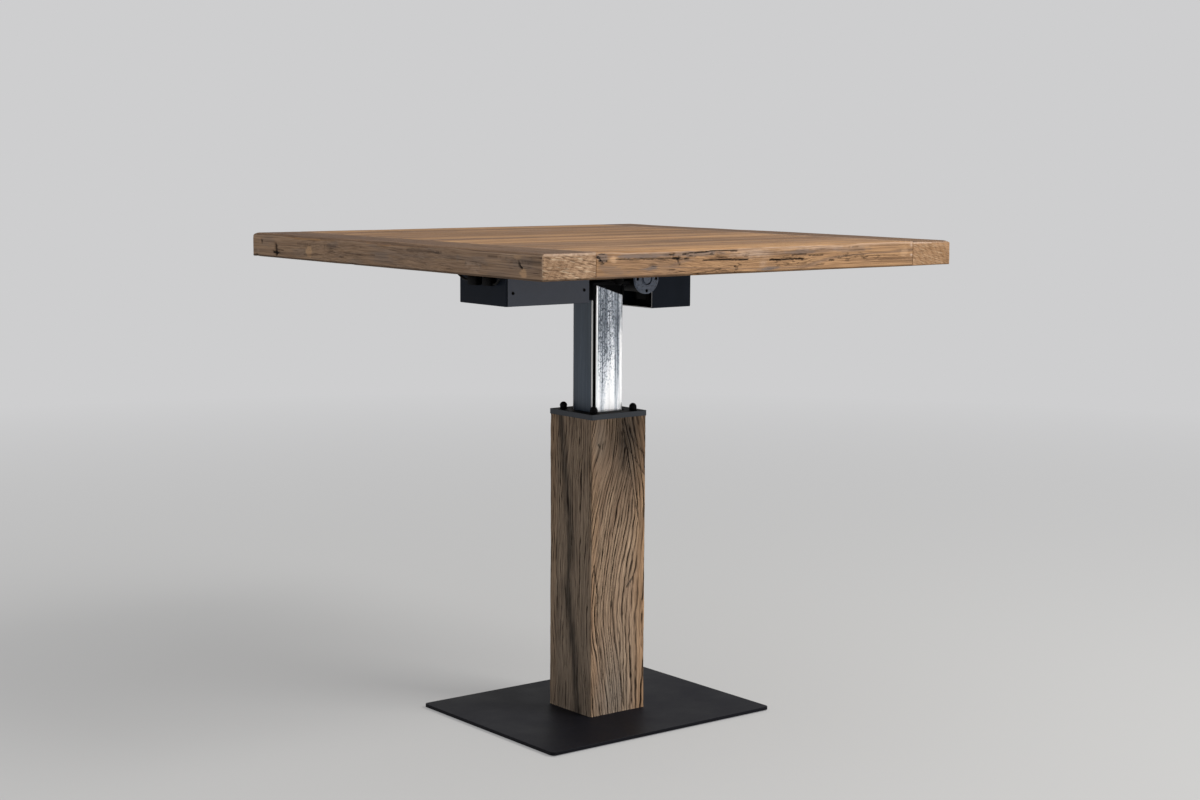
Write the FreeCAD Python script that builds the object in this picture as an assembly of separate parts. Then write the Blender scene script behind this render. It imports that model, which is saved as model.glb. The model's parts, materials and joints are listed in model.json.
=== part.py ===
import FreeCAD, Part
import math
import os

# Pedestal table on a motor-driven telescoping column, millimetres.
# Origin: centre of the footprint on the floor. +Z up, +X along the planks of the top.

Vec = FreeCAD.Vector
along_x, along_y, along_z = Vec(1, 0, 0), Vec(0, 1, 0), Vec(0, 0, 1)

# Tabletop of planks between two border planks
table_height = 875.0          # floor to the top's upper face, at rest
top_length = 900.0            # along X
top_width = 900.0             # along Y
top_off_x = -5.0              # middle of the top from the column's axis
top_off_y = 7.0
top_thickness = 43.0
top_corner = 6.0              # rounding of the upright corners
top_arris = 3.0               # rounding of the upper and lower edges
border_width_left = 104.0
border_width_right = 97.0
plank_shares = (1.00, 1.10, 0.93, 1.06, 0.97, 0.94)
joint_groove = 0.8            # V between planks
tongue_thickness = 9.0
tongue_depth = 12.0           # into each side of a joint
tongue_inset = 40.0           # from the top's edges

# Foot plate, post and cap plate
base_length = 500.0
base_width = 400.0
base_thickness = 6.0
base_corner = 8.0
base_bevel = 0.6
pad_radius = 16.0
pad_thickness = 2.0
pad_inset = 32.0
post_side = 126.0
post_height = 543.0
post_arris = 2.5
cap_thickness = 9.5
cap_corner = 2.0

# Tie rods and their domed nuts
rod_radius = 4.0
rod_pitch = 90.0
rod_end = 10.0                # rod above the cap plate
nut_flats = 13.0
nut_hex_height = 6.5
nut_height = 15.0
dome_radius = 6.2

# Travel of the lift from the rest height
lift_down = 155.0
lift_up = 245.0

# Moving tube and the guide rail on its front
tube_x = 70.0
tube_y = 60.0
tube_wall = 3.0
tube_corner = 4.0
rail_width = 60.5
rail_depth = 4.5
rail_wall = 1.5
rail_end_gap = 1.0            # under the head's flange
rail_slant = 20.0             # fall of the rail's upper end, left to right

# Guide tube and glides
glide_wall = 4.0
glide_gap = 0.3
guide_wall = 3.0
guide_corner = 3.0
upper_glide_height = 60.0
lower_glide_height = 50.0
cap_gap = 3.0                 # round the moving tube, in the cap plate

# Spindle, nut and push tube
spindle_radius = 8.0
spindle_fit = 0.05
collar_radius = 13.0
collar_height = 9.0
push_radius = 17.0
push_wall = 4.0
foot_thickness = 8.0
foot_margin = 4.0             # between the foot and the guide tube
foot_screw_radius = 3.0
foot_head_radius = 5.0
foot_head_height = 3.5
foot_screw_inset = 9.0
nut_length = 45.0
nut_flange = 8.0
nut_flange_radius = 20.0
end_gap = 5.0                 # left at each end of the travel
bearing_radius = 17.5
bearing_height = 11.0
bearing_seat = 16.0

# Head: socket, worm gear and motor
frame_thickness = 5.0
frame_half = 65.0
frame_plate = 90.0
frame_reach = 320.0
frame_bar = 40.0
frame_slot = 16.0
frame_slot_radius = 3.0
frame_row_shares = ((2, 0.25), (2, 0.75), (3, 0.20), (4, 0.75), (5, 0.25), (5, 0.75))   # plank, share
frame_corner = 6.0
head_flange_height = 37.0     # flange's underside below the mounting frame
head_flange_thickness = 5.0
head_flange_left = 50.0
head_flange_front = 46.0
head_flange_back = 50.0
socket_wall = 3.0
socket_depth = 28.0
socket_lip = 7.3
socket_screw_drop = 20.0
socket_screw_offset = 14.0
flange_screw_radius = 2.5
flange_head_radius = 4.5
flange_head_height = 3.0
flange_screw_offset = 25.0
flange_screw_stand_off = 12.0
flange_screw_depth = 12.0     # in the gear housing
head_flange_corner = 4.0
lug_angles = (90, 180, 270)
wheel_radius = 52.0           # outside of the worm wheel's drum
worm_x = 66.0
worm_drop = 28.0              # worm's axis below the mounting frame
worm_radius = 25.0
worm_front = -52.0
worm_back = 45.0
lug_radius = 9.0
lug_reach = 60.0
lug_screw_radius = 4.0
lug_head_radius = 6.5
lug_head_height = 5.0
worm_cap_radius = 27.5
worm_cap_thickness = 5.0
worm_cap_boss = 12.0
worm_cap_boss_height = 1.2
worm_screw_circle = 21.5
worm_screw_radius = 2.8
worm_screw_sink = 0.6
motor_radius = 26.0
motor_length = 92.0
motor_tail = 6.0
motor_terminal_y = 100.0
terminal_radius = 6.5
terminal_proud = 0.5
gland_radius = 5.0
gland_length = 10.0
shaft_gap = 0.6               # round the spindle in the gear housing
shaft_end = 20.0              # spindle in the gear housing

# Control unit, left of the column
sheet = 1.5
control_left = -256.0
control_right = -76.0
control_front = -68.5
control_back = 68.5
control_height = 70.0
control_fold = 2.0
control_rim = 4.0             # dark rim beside the cover
control_screw_inset = 11.0
control_screw_height = 23.0
control_flange = 14.0
control_tab = 24.0
control_tab_inset = 30.0
cover_margin = 0.5
small_screw_radius = 2.0
small_head_radius = 3.5
small_head_height = 1.6
small_screw_grip = 3.0        # behind the tray's rim
plug_reach = 14.0
plug_height = 16.0
relief_wall = 1.4
relief_length = 5.0
board_thickness = 1.6
board_standoff = 6.0
board_margin = 8.0
board_post_radius = 3.0
capacitor_radius = 9.0
capacitor_height = 30.0
relay_length, relay_width, relay_height = 28.0, 14.0, 16.0
parts_on_board = 3            # of each kind

# Supply unit, right of the column
supply_left = 84.0
supply_right = 175.0
supply_front = -50.0
supply_back = 44.0
supply_height = 88.0
supply_fold = 2.5
supply_flange = 13.0
supply_screw_inset = 20.0
notch_gap = 2.0
core_length = 34.0
core_width = 62.0
core_height = 52.0
core_leg = 12.0
core_left = 106.0
coil_bulge = 9.0
coil_corner = 7.0
inlet_width = 28.0
inlet_height = 20.0
inlet_depth = 18.0
inlet_wall = 1.75
inlet_floor = 3.0
inlet_flange = 4.0
inlet_flange_thickness = 2.0
inlet_drop = 44.0             # inlet's middle below the top
pin_width = 2.0
pin_height = 4.0
pin_pitch = 7.0
pin_length = 11.0

# Hand switch under the far edge, its lead and the motor's lead
switch_length = 49.0
switch_width = 90.0
switch_height = 24.0
switch_y = 60.0
switch_set_back = 4.0
switch_corner = 5.0
switch_screw_floor = 8.0
switch_screw_inset = 11.0
key_width = 20.0
key_height = 11.0
key_pitch = 34.0
key_corner = 3.0
key_gap = 0.3
key_proud = 2.0
key_well = 6.0
key_travel = 1.5
lead_radius = 2.25
lead_drop = 0.3               # lead under the mounting frame
lead_stand_off = 12.0         # leads beside the control unit
clip_length = 8.0
clip_wall = 2.0
clip_ear = 7.0
clip_pin_length = 14.0
clip_pin_radius = 1.0
clip_inset = 52.0             # from the bends of a lead and the control unit's ends
switch_lead_run = 170.0       # from where the lead turns off to the hand switch
switch_lead_end = 70.0        # its straight end
motor_lead_bends = (80.0, 45.0, 22.0)   # back from the terminal

wood_screw_radius = 2.2
wood_screw_length = 28.0
pan_head_radius = 5.5
pan_head_height = 3.2

# Heights and sizes that follow
base_top = pad_thickness + base_thickness
post_top = base_top + post_height
cap_top = post_top + cap_thickness
top_under = table_height - top_thickness
frame_under = top_under - frame_thickness
flange_under = frame_under - head_flange_height
housing_under = flange_under + head_flange_thickness
tube_centre = rail_depth / 2                       # tube and rail together sit on the axis
tube_front = tube_centre - tube_y / 2
tube_back = tube_centre + tube_y / 2
section_y = tube_y + rail_depth
guide_inner_x = tube_x + 2 * glide_wall
guide_inner_y = section_y + 2 * glide_wall
guide_x = guide_inner_x + 2 * guide_wall
guide_y = guide_inner_y + 2 * guide_wall
foot_top = base_top + foot_thickness
tube_bottom = foot_top + foot_head_height + end_gap + lift_down
spindle_bottom = foot_top + 2 * end_gap + lift_down
nut_bottom = spindle_bottom + lift_up + end_gap
nut_top = nut_bottom + nut_length
worm_z = frame_under - worm_drop
bearing_bottom = flange_under - bearing_height
lead_z = frame_under - lead_radius - lead_drop
control_bottom = top_under - control_height
supply_bottom = top_under - supply_height
inlet_z = top_under - inlet_drop
supply_mid = (supply_front + supply_back) / 2


top_left = top_off_x - top_length / 2
top_right = top_off_x + top_length / 2
top_front = top_off_y - top_width / 2
top_back = top_off_y + top_width / 2


def plank_bounds():
    """Lower and upper Y of each plank, front to back."""
    total, y, bounds = sum(plank_shares), top_front, []
    for share in plank_shares:
        width = top_width * share / total
        bounds.append((y, y + width))
        y += width
    return bounds


def block(x0, x1, y0, y1, z0, z1):
    return Part.makeBox(x1 - x0, y1 - y0, z1 - z0, Vec(x0, y0, z0))


def edges_along(solid, direction):
    """Straight edges of a solid that run along a direction."""
    found = []
    for edge in solid.Edges:
        if isinstance(edge.Curve, Part.Line) and abs(edge.tangentAt(edge.FirstParameter) * direction) > 0.999:
            found.append(edge)
    return found


def rounded_block(x0, x1, y0, y1, z0, z1, radius, direction=along_z):
    """Block whose edges along one direction are rounded."""
    solid = block(x0, x1, y0, y1, z0, z1)
    return solid.makeFillet(radius, edges_along(solid, direction))


def centred_block(size_x, size_y, z0, z1, radius, centre_y=0.0):
    half_x, half_y = size_x / 2, size_y / 2
    return rounded_block(-half_x, half_x, centre_y - half_y, centre_y + half_y, z0, z1, radius)


def disc(x, y, z, radius, length, direction=along_z):
    return Part.makeCylinder(radius, length, Vec(x, y, z), direction)


def fuse(solids):
    return solids[0].multiFuse(list(solids[1:])).removeSplitter()


def cut(solid, tools):
    tools = list(tools)
    return solid.cut(tools) if tools else solid


def rim_edges(solid, direction):
    """Edges that lie whole in the face furthest along a direction."""
    heights = [[vertex.Point * direction for vertex in edge.Vertexes] for edge in solid.Edges]
    furthest = max(max(pair) for pair in heights)
    return [edge for edge, pair in zip(solid.Edges, heights) if min(pair) > furthest - 0.01]


def slot(x, y, z0, z1, radius, length):
    """Upright slot, long along Y."""
    half = length / 2 - radius
    ends = [disc(x, y + side * half, z0, radius, z1 - z0) for side in (-1, 1)]
    return fuse(ends + [block(x - radius, x + radius, y - half, y + half, z0, z1)])


def hexagon(x, y, z, flats, height):
    """Upright hexagonal prism."""
    reach = flats / math.sqrt(3)
    corners = [Vec(x + reach * math.cos(math.radians(60 * k)), y + reach * math.sin(math.radians(60 * k)), z)
               for k in range(7)]
    return Part.Face(Part.makePolygon(corners)).extrude(Vec(0, 0, height))


def up_screw(x, y, z, radius, length, head_radius, head_height):
    """Screw driven upwards, its round head under z."""
    head = disc(x, y, z - head_height, head_radius, head_height)
    head = head.makeFillet(head_height * 0.45, rim_edges(head, along_z * -1))
    return head.fuse(disc(x, y, z, radius, length)).removeSplitter()


def wood_screw(x, y, z):
    return up_screw(x, y, z, wood_screw_radius, wood_screw_length, pan_head_radius, pan_head_height)


def lead(points, radius):
    """Round lead along straight runs joined by tangent arcs."""
    points = [Vec(*point) for point in points]
    edges, start = [], points[0]
    for before, corner, after in zip(points, points[1:], points[2:]):
        run_in, run_out = corner - before, after - corner
        turn = run_in.getAngle(run_out)
        setback = 0.45 * min(run_in.Length, run_out.Length)
        bend = setback / math.tan(turn / 2)
        first = corner - run_in.normalize() * setback
        last = corner + run_out.normalize() * setback
        inwards = (run_out - run_in).normalize()
        middle = corner + inwards * (bend / math.cos(turn / 2) - bend)
        edges += [Part.makeLine(start, first), Part.Arc(first, middle, last).toShape()]
        start = last
    edges.append(Part.makeLine(start, points[-1]))
    path = Part.Wire(edges)
    circle = Part.Wire(Part.makeCircle(radius, points[0], points[1] - points[0]))
    tube = path.makePipeShell([circle], True, False)
    wanted = math.pi * radius ** 2 * path.Length
    print(f"lead {path.Length:.0f} mm, volume {tube.Volume / wanted:.4f} of its section times its length")
    return tube


# ---- foot, post and guide ----

def square_places(pitch, centre_y=0.0, pitch_y=None):
    half_y = (pitch if pitch_y is None else pitch_y) / 2
    return [(sx * pitch / 2, centre_y + sy * half_y) for sx in (-1, 1) for sy in (-1, 1)]


def circle_places(x, y, radius, angles):
    turns = [math.radians(angle) for angle in angles]
    return [(x + radius * math.cos(turn), y + radius * math.sin(turn)) for turn in turns]


rod_places = square_places(rod_pitch)
foot_x = guide_inner_x - 2 * foot_margin
foot_y = guide_inner_y - 2 * foot_margin
foot_screw_places = square_places(foot_x - 2 * foot_screw_inset, 0.0, foot_y - 2 * foot_screw_inset)


def floor_pads():
    places = square_places(base_length - 2 * pad_inset, 0.0, base_width - 2 * pad_inset)
    return [disc(x, y, 0, pad_radius, pad_thickness) for x, y in places]


def base_plate():
    plate = centred_block(base_length, base_width, pad_thickness, base_top, base_corner)
    plate = plate.makeChamfer(base_bevel, rim_edges(plate, along_z))
    holes = [disc(x, y, pad_thickness, rod_radius, base_thickness) for x, y in rod_places]
    holes += [disc(x, y, pad_thickness, foot_screw_radius, base_thickness) for x, y in foot_screw_places]
    return cut(plate, holes)


def post():
    beam = centred_block(post_side, post_side, base_top, post_top, post_arris)
    bore = centred_block(guide_x, guide_y, base_top, post_top, guide_corner + guide_wall)
    return cut(beam, [bore] + [disc(x, y, base_top, rod_radius, post_height) for x, y in rod_places])


def cap_plate():
    plate = centred_block(post_side, post_side, post_top, cap_top, cap_corner)
    opening = centred_block(tube_x + 2 * cap_gap, section_y + 2 * cap_gap, post_top, cap_top,
                            tube_corner + cap_gap)
    return cut(plate, [opening] + [disc(x, y, post_top, rod_radius, cap_thickness) for x, y in rod_places])


def tie_rods():
    length = cap_top + rod_end - pad_thickness
    return [disc(x, y, pad_thickness, rod_radius, length) for x, y in rod_places]


def cap_nut(x, y):
    """Hexagon nut with a domed end and a blind thread."""
    body = hexagon(x, y, cap_top, nut_flats, nut_hex_height)
    bevel = Part.makeCone(nut_flats / 2 + nut_hex_height, nut_flats / 2, nut_hex_height + 0.4,
                          Vec(x, y, cap_top))
    dome_centre = cap_top + nut_height - dome_radius
    neck = disc(x, y, cap_top, dome_radius, dome_centre - cap_top)
    ball = Part.makeSphere(dome_radius, Vec(x, y, dome_centre))
    solid = fuse([body.common(bevel), neck, ball])
    below = block(x - nut_flats, x + nut_flats, y - nut_flats, y + nut_flats, cap_top - nut_flats, cap_top)
    return cut(solid, [below, disc(x, y, cap_top, rod_radius, rod_end)])


def cap_nuts():
    return [cap_nut(x, y) for x, y in rod_places]


def guide_tube():
    outer = centred_block(guide_x, guide_y, base_top, post_top, guide_corner + guide_wall)
    return outer.cut(centred_block(guide_inner_x, guide_inner_y, base_top, post_top, guide_corner))


def moving_section(z0, z1, gap):
    """Outline of the moving tube with its rail, grown by a gap."""
    half_x, half_rail = tube_x / 2 + gap, rail_width / 2 + gap
    tube = rounded_block(-half_x, half_x, tube_front - gap, tube_back + gap, z0, z1, tube_corner + gap)
    rail = block(-half_rail, half_rail, tube_front - rail_depth - gap, tube_centre, z0, z1)
    return fuse([tube, rail])


def upper_glide():
    bottom = post_top - upper_glide_height
    outer = centred_block(guide_inner_x, guide_inner_y, bottom, post_top, guide_corner)
    return outer.cut(moving_section(bottom, post_top, glide_gap))


def push_tube():
    outer = disc(0, tube_centre, foot_top, push_radius, nut_top - nut_flange - foot_top)
    return outer.cut(disc(0, tube_centre, foot_top, push_radius - push_wall, nut_top - foot_top))


def push_tube_foot():
    plate = centred_block(foot_x, foot_y, base_top, foot_top, guide_corner)
    return cut(plate, [disc(x, y, base_top, foot_screw_radius, foot_thickness) for x, y in foot_screw_places])


def foot_screws():
    solids = []
    for x, y in foot_screw_places:
        shank = disc(x, y, pad_thickness, foot_screw_radius, foot_top - pad_thickness)
        solids.append(fuse([shank, disc(x, y, foot_top, foot_head_radius, foot_head_height)]))
    return solids


def spindle_nut():
    body = disc(0, tube_centre, nut_bottom, push_radius - push_wall, nut_length)
    flange = disc(0, tube_centre, nut_top - nut_flange, nut_flange_radius, nut_flange)
    bore = disc(0, tube_centre, nut_bottom, spindle_radius + spindle_fit, nut_length)
    return fuse([body, flange]).cut(bore)


# ---- moving tube and head ----

def lift_tube():
    outer = centred_block(tube_x, tube_y, tube_bottom, flange_under, tube_corner, tube_centre)
    inner = centred_block(tube_x - 2 * tube_wall, tube_y - 2 * tube_wall, tube_bottom, flange_under,
                          tube_corner - tube_wall, tube_centre)
    holes = [disc(side * tube_x / 2 - side * tube_wall, y, z, flange_screw_radius, tube_wall, along_x * side)
             for side, y, z in socket_screw_places]
    return cut(outer, [inner] + holes)


def guide_rail():
    """Bent sheet channel, its web to the front and its upper end cut on the slant."""
    bottom = tube_bottom + lower_glide_height + glide_gap
    half = rail_width / 2
    front = tube_front - rail_depth
    top = flange_under - rail_end_gap
    outer = block(-half, half, front, tube_front, bottom, top)
    outer = outer.makeFillet(rail_wall, [edge for edge in edges_along(outer, along_z)
                                         if edge.BoundBox.YMax < front + 0.01])
    hollow = block(-half + rail_wall, half - rail_wall, front + rail_wall, tube_front, bottom, top)
    corner = Vec(-half, front, top)
    slant = Part.makePolygon([corner, Vec(half, front, top), Vec(half, front, top - rail_slant), corner])
    return cut(outer, [hollow, Part.Face(slant).extrude(Vec(0, rail_depth, 0))])


def lower_glide():
    z1 = tube_bottom + lower_glide_height
    outer = centred_block(guide_inner_x - 2 * glide_gap, guide_inner_y - 2 * glide_gap, tube_bottom, z1,
                          guide_corner)
    return outer.cut(centred_block(tube_x, tube_y, tube_bottom, z1, tube_corner, tube_centre))


socket_screw_places = [(side, tube_centre + y, flange_under - socket_screw_drop)
                       for side in (-1, 1) for y in (-socket_screw_offset, socket_screw_offset)]
flange_right = worm_x - worm_radius - 1.0
flange_screw_places = [(side * flange_screw_offset, y) for side in (-1, 1)
                       for y in (tube_front - flange_screw_stand_off, tube_back + flange_screw_stand_off)]
lug_places = circle_places(0.0, tube_centre, lug_reach, lug_angles)


def head_bracket():
    """Socket round the top of the moving tube, open where the rail runs, under a flange."""
    z0 = flange_under - socket_depth
    outer = centred_block(tube_x + 2 * socket_wall, tube_y + 2 * socket_wall, z0, flange_under,
                          tube_corner + socket_wall, tube_centre)
    inner = centred_block(tube_x, tube_y, z0, flange_under, tube_corner, tube_centre)
    mouth = tube_x / 2 + socket_wall - socket_lip
    front = block(-mouth, mouth, tube_front - socket_wall, tube_front, z0, flange_under)
    flange = rounded_block(-head_flange_left, flange_right, -head_flange_front, head_flange_back,
                           flange_under, housing_under, head_flange_corner)
    solid = fuse([cut(outer, [inner, front]), flange])
    holes = [disc(0, tube_centre, flange_under, collar_radius - 1.0, head_flange_thickness)]
    holes += [disc(x, y, flange_under, flange_screw_radius, head_flange_thickness)
              for x, y in flange_screw_places]
    holes += [disc(side * tube_x / 2, y, z, flange_screw_radius, socket_wall, along_x * side)
              for side, y, z in socket_screw_places]
    return cut(solid, holes)


def bracket_screws():
    """Screws of the socket, into the tube's walls, and of its flange, into the gear housing."""
    solids = []
    for side, y, z in socket_screw_places:
        wall = tube_x / 2 - tube_wall
        shank = disc(side * wall, y, z, flange_screw_radius, tube_wall + socket_wall, along_x * side)
        head_start = side * (tube_x / 2 + socket_wall)
        head = disc(head_start, y, z, flange_head_radius, flange_head_height, along_x * side)
        solids.append(fuse([shank, head]))
    for x, y in flange_screw_places:
        length = head_flange_thickness + flange_screw_depth
        solids.append(up_screw(x, y, flange_under, flange_screw_radius, length, flange_head_radius,
                               flange_head_height))
    return solids


def bearing_plate():
    z0 = flange_under - bearing_seat
    plate = centred_block(tube_x - 2 * tube_wall, tube_y - 2 * tube_wall, z0, flange_under,
                          tube_corner - tube_wall, tube_centre)
    return plate.cut(disc(0, tube_centre, z0, bearing_radius, bearing_seat))


def spindle_bearing():
    ring = disc(0, tube_centre, bearing_bottom, bearing_radius, bearing_height)
    ring = ring.cut(disc(0, tube_centre, bearing_bottom, spindle_radius + spindle_fit, bearing_height))
    middle = (bearing_radius + spindle_radius) / 2
    groove = disc(0, tube_centre, bearing_bottom, middle + 2.0, 1.0)
    groove = groove.cut(disc(0, tube_centre, bearing_bottom, middle - 2.0, 1.0))
    return ring.cut(groove)


def spindle():
    shaft = disc(0, tube_centre, spindle_bottom, spindle_radius, housing_under + shaft_end - spindle_bottom)
    shaft = shaft.makeChamfer(1.2, rim_edges(shaft, along_z) + rim_edges(shaft, along_z * -1))
    collar_top = bearing_bottom - spindle_fit
    return fuse([shaft, disc(0, tube_centre, collar_top - collar_height, collar_radius, collar_height)])


def gear_housing():
    """Worm wheel's drum with mounting lugs, and the worm's barrel beside it."""
    height = frame_under - housing_under
    drum = disc(0, tube_centre, housing_under, wheel_radius, height)
    drum = drum.makeFillet(3.0, rim_edges(drum, along_z * -1))
    barrel = disc(worm_x, worm_front, worm_z, worm_radius, worm_back - worm_front, along_y)
    ribs = [disc(x, y, housing_under, lug_radius, height) for x, y in lug_places]
    for angle in lug_angles:
        rib = block(0, lug_reach, -lug_radius, lug_radius, frame_under - height / 2, frame_under)
        rib.rotate(Vec(0, 0, 0), along_z, angle)
        rib.translate(Vec(0, tube_centre, 0))
        ribs.append(rib)
    solid = fuse([drum, barrel] + ribs)
    holes = [disc(0, tube_centre, housing_under, spindle_radius + shaft_gap, shaft_end + shaft_gap)]
    holes += [disc(x, y, housing_under, lug_screw_radius, height) for x, y in lug_places]
    holes += [disc(x, y, housing_under, flange_screw_radius, flange_screw_depth)
              for x, y in flange_screw_places]
    return cut(solid, holes)


worm_screw_places = circle_places(worm_x, worm_z, worm_screw_circle, (0, 90, 180, 270))


def worm_cap():
    """Round end cap of the worm's barrel, with a low boss round its middle."""
    front = worm_front - worm_cap_thickness
    plate = disc(worm_x, front, worm_z, worm_cap_radius, worm_cap_thickness, along_y)
    rim = rim_edges(plate, along_y * -1)
    boss = disc(worm_x, front - worm_cap_boss_height, worm_z, worm_cap_boss, worm_cap_boss_height, along_y)
    holes = [disc(x, front, z, worm_screw_radius, worm_cap_thickness, along_y) for x, z in worm_screw_places]
    return cut(fuse([plate.makeFillet(1.2, rim), boss]), holes)


def worm_cap_screws():
    """Socket screws sunk flush in the end cap."""
    front = worm_front - worm_cap_thickness + worm_screw_sink
    solids = []
    for x, z in worm_screw_places:
        screw = disc(x, front, z, worm_screw_radius, worm_front - front, along_y)
        solids.append(screw.cut(disc(x, front, z, worm_screw_radius / 2, worm_screw_radius / 2, along_y)))
    return solids


terminal_x = worm_x - motor_radius - terminal_proud


def motor_body():
    """Round motor can behind the worm's barrel, with a narrower tail bell."""
    can = disc(worm_x, worm_back, worm_z, motor_radius, motor_length, along_y)
    rims = rim_edges(can, along_y) + rim_edges(can, along_y * -1)
    tail = disc(worm_x, worm_back + motor_length, worm_z, motor_radius * 0.45, motor_tail, along_y)
    boss = disc(terminal_x, motor_terminal_y, worm_z, terminal_radius, motor_radius, along_x)
    return fuse([can.makeFillet(2.0, rims), tail, boss])


def motor_gland():
    return disc(terminal_x - gland_length, motor_terminal_y, worm_z, gland_radius, gland_length, along_x)


# ---- mounting frame ----

def frame_row(plank, share):
    y0, y1 = plank_bounds()[plank - 1]
    return y0 + share * (y1 - y0)


frame_rows = [frame_row(*row) for row in frame_row_shares]
frame_slot_places = [(side * (frame_half - frame_bar / 2), y) for side in (-1, 1) for y in frame_rows]


def mounting_frame():
    """Two bars across the planks, joined by a middle plate, with slots that let the wood move."""
    solids = [block(-frame_half, frame_half, -frame_plate, frame_plate, frame_under, top_under)]
    for side in (-1, 1):
        x0, x1 = sorted((side * frame_half, side * (frame_half - frame_bar)))
        solids.append(rounded_block(x0, x1, -frame_reach, frame_reach, frame_under, top_under,
                                    frame_corner))
    plate = fuse(solids)
    holes = [slot(x, y, frame_under, top_under, frame_slot_radius, frame_slot) for x, y in frame_slot_places]
    holes += [disc(x, y, frame_under, lug_screw_radius, frame_thickness) for x, y in lug_places]
    return cut(plate, holes)


def frame_screws():
    return [wood_screw(x, y, frame_under) for x, y in frame_slot_places]


def lug_screws():
    """Bolts up through the gear housing's lugs into the mounting frame."""
    length = top_under - housing_under
    return [up_screw(x, y, housing_under, lug_screw_radius, length, lug_head_radius, lug_head_height)
            for x, y in lug_places]


# ---- control unit ----

control_screw_places = [(x, control_bottom + control_screw_height)
                        for x in (control_left + control_rim + control_screw_inset,
                                  control_right - control_screw_inset)]
control_flange_places = [(x, control_back + control_flange / 2)
                         for x in (control_left + control_tab_inset, control_right - control_tab_inset)]


def control_case():
    """Folded sheet tray, open at the front, hung from the top by two rear tabs."""
    outer = block(control_left, control_right, control_front, control_back, control_bottom, top_under)
    folds = [edge for edge in outer.Edges if edge.BoundBox.ZMax < control_bottom + 0.01
             and edge.BoundBox.YMax - edge.BoundBox.YMin > 1.0]
    outer = outer.makeFillet(control_fold, folds)
    hollow = block(control_left + sheet, control_right - sheet, control_front + sheet, control_back - sheet,
                   control_bottom + sheet, top_under - sheet)
    mouth = block(control_left + control_rim, control_right - control_rim, control_front,
                  control_front + sheet, control_bottom + control_rim, top_under - control_rim)
    tabs = [block(x - control_tab / 2, x + control_tab / 2, control_back - sheet,
                  control_back + control_flange, top_under - sheet, top_under)
            for x, y in control_flange_places]
    shell = fuse([cut(outer, [hollow, mouth])] + tabs)
    holes = [disc(x, y, top_under - sheet, wood_screw_radius, sheet) for x, y in control_flange_places]
    holes += [disc(x, control_front, z, small_screw_radius, sheet, along_y) for x, z in control_screw_places]
    return cut(shell, holes)


def control_cover():
    """Flat cover over the tray's open front."""
    solid = rounded_block(control_left + control_rim, control_right, control_front - sheet, control_front,
                          control_bottom + cover_margin, top_under - cover_margin, control_fold, along_y)
    return cut(solid, [disc(x, control_front - sheet, z, small_screw_radius, sheet, along_y)
                       for x, z in control_screw_places])


def control_cover_screws():
    solids = []
    for x, z in control_screw_places:
        front = control_front - sheet
        head = disc(x, front - small_head_height, z, small_head_radius, small_head_height, along_y)
        rim = rim_edges(head, along_y * -1)
        shank = disc(x, front, z, small_screw_radius, 2 * sheet + small_screw_grip, along_y)
        solids.append(fuse([head.makeFillet(small_head_height * 0.5, rim), shank]))
    return solids


def circuit_board():
    """Board on four posts from the tray's floor, with relays and capacitors."""
    x0, x1 = control_left + sheet + board_margin, control_right - sheet - board_margin
    y0, y1 = control_front + sheet + board_margin, control_back - sheet - board_margin
    floor = control_bottom + sheet
    under = floor + board_standoff
    upper = under + board_thickness
    solids = [block(x0, x1, y0, y1, under, upper)]
    inset = 2 * board_post_radius
    for x in (x0 + inset, x1 - inset):
        for y in (y0 + inset, y1 - inset):
            solids.append(disc(x, y, floor, board_post_radius, board_standoff))
    for k in range(parts_on_board):
        x = x0 + (k + 1) * (x1 - x0) / (parts_on_board + 1)
        solids.append(disc(x, y1 - 2 * capacitor_radius, upper, capacitor_radius, capacitor_height))
        solids.append(block(x - relay_length / 2, x + relay_length / 2, y0 + relay_width,
                            y0 + 2 * relay_width, upper, upper + relay_height))
    return fuse(solids)


class Plug:
    """Angled plug in the end of the control unit, its lead leaving towards one side."""

    def __init__(self, centre_y, width, drop, exit_height, side):
        self.centre_y, self.width, self.side = centre_y, width, side
        self.bottom = top_under - drop
        self.exit_z = self.bottom + exit_height

    def solid(self):
        half = self.width / 2
        body = rounded_block(control_left - plug_reach, control_left, self.centre_y - half,
                             self.centre_y + half, self.bottom, self.bottom + plug_height, control_fold,
                             along_x)
        x, y, z = self.lead_start()
        relief = disc(x, y - self.side * relief_length, z, lead_radius + relief_wall, relief_length,
                      along_y * self.side)
        return fuse([body, relief])

    def lead_start(self):
        reach = self.width / 2 + relief_length
        return control_left - plug_reach / 2, self.centre_y + self.side * reach, self.exit_z


the_motor_plug = Plug(centre_y=11.5, width=23.0, drop=36.0, exit_height=8.0, side=1)
the_switch_plug = Plug(centre_y=-27.0, width=20.0, drop=35.0, exit_height=4.0, side=-1)


switch_lead_y = control_front - lead_stand_off
motor_lead_y = control_back + lead_stand_off
switch_back = top_right - switch_set_back - switch_length
lead_turn_x = switch_back - switch_lead_run
lead_end_x = switch_back - switch_lead_end


def switch_lead():
    """Lead from the control unit to the hand switch, clipped under the top."""
    x, y, z = the_switch_plug.lead_start()
    points = [(x, y, z), (x, y - 10.0, z), (x, y - 19.0, z + 9.0),
              (x - 1.0, control_front - 6.0, lead_z - 5.0), (x + 17.0, switch_lead_y, lead_z),
              (lead_turn_x, switch_lead_y, lead_z), (lead_end_x, switch_y, lead_z),
              (switch_back, switch_y, lead_z)]
    return lead(points, lead_radius)


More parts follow.
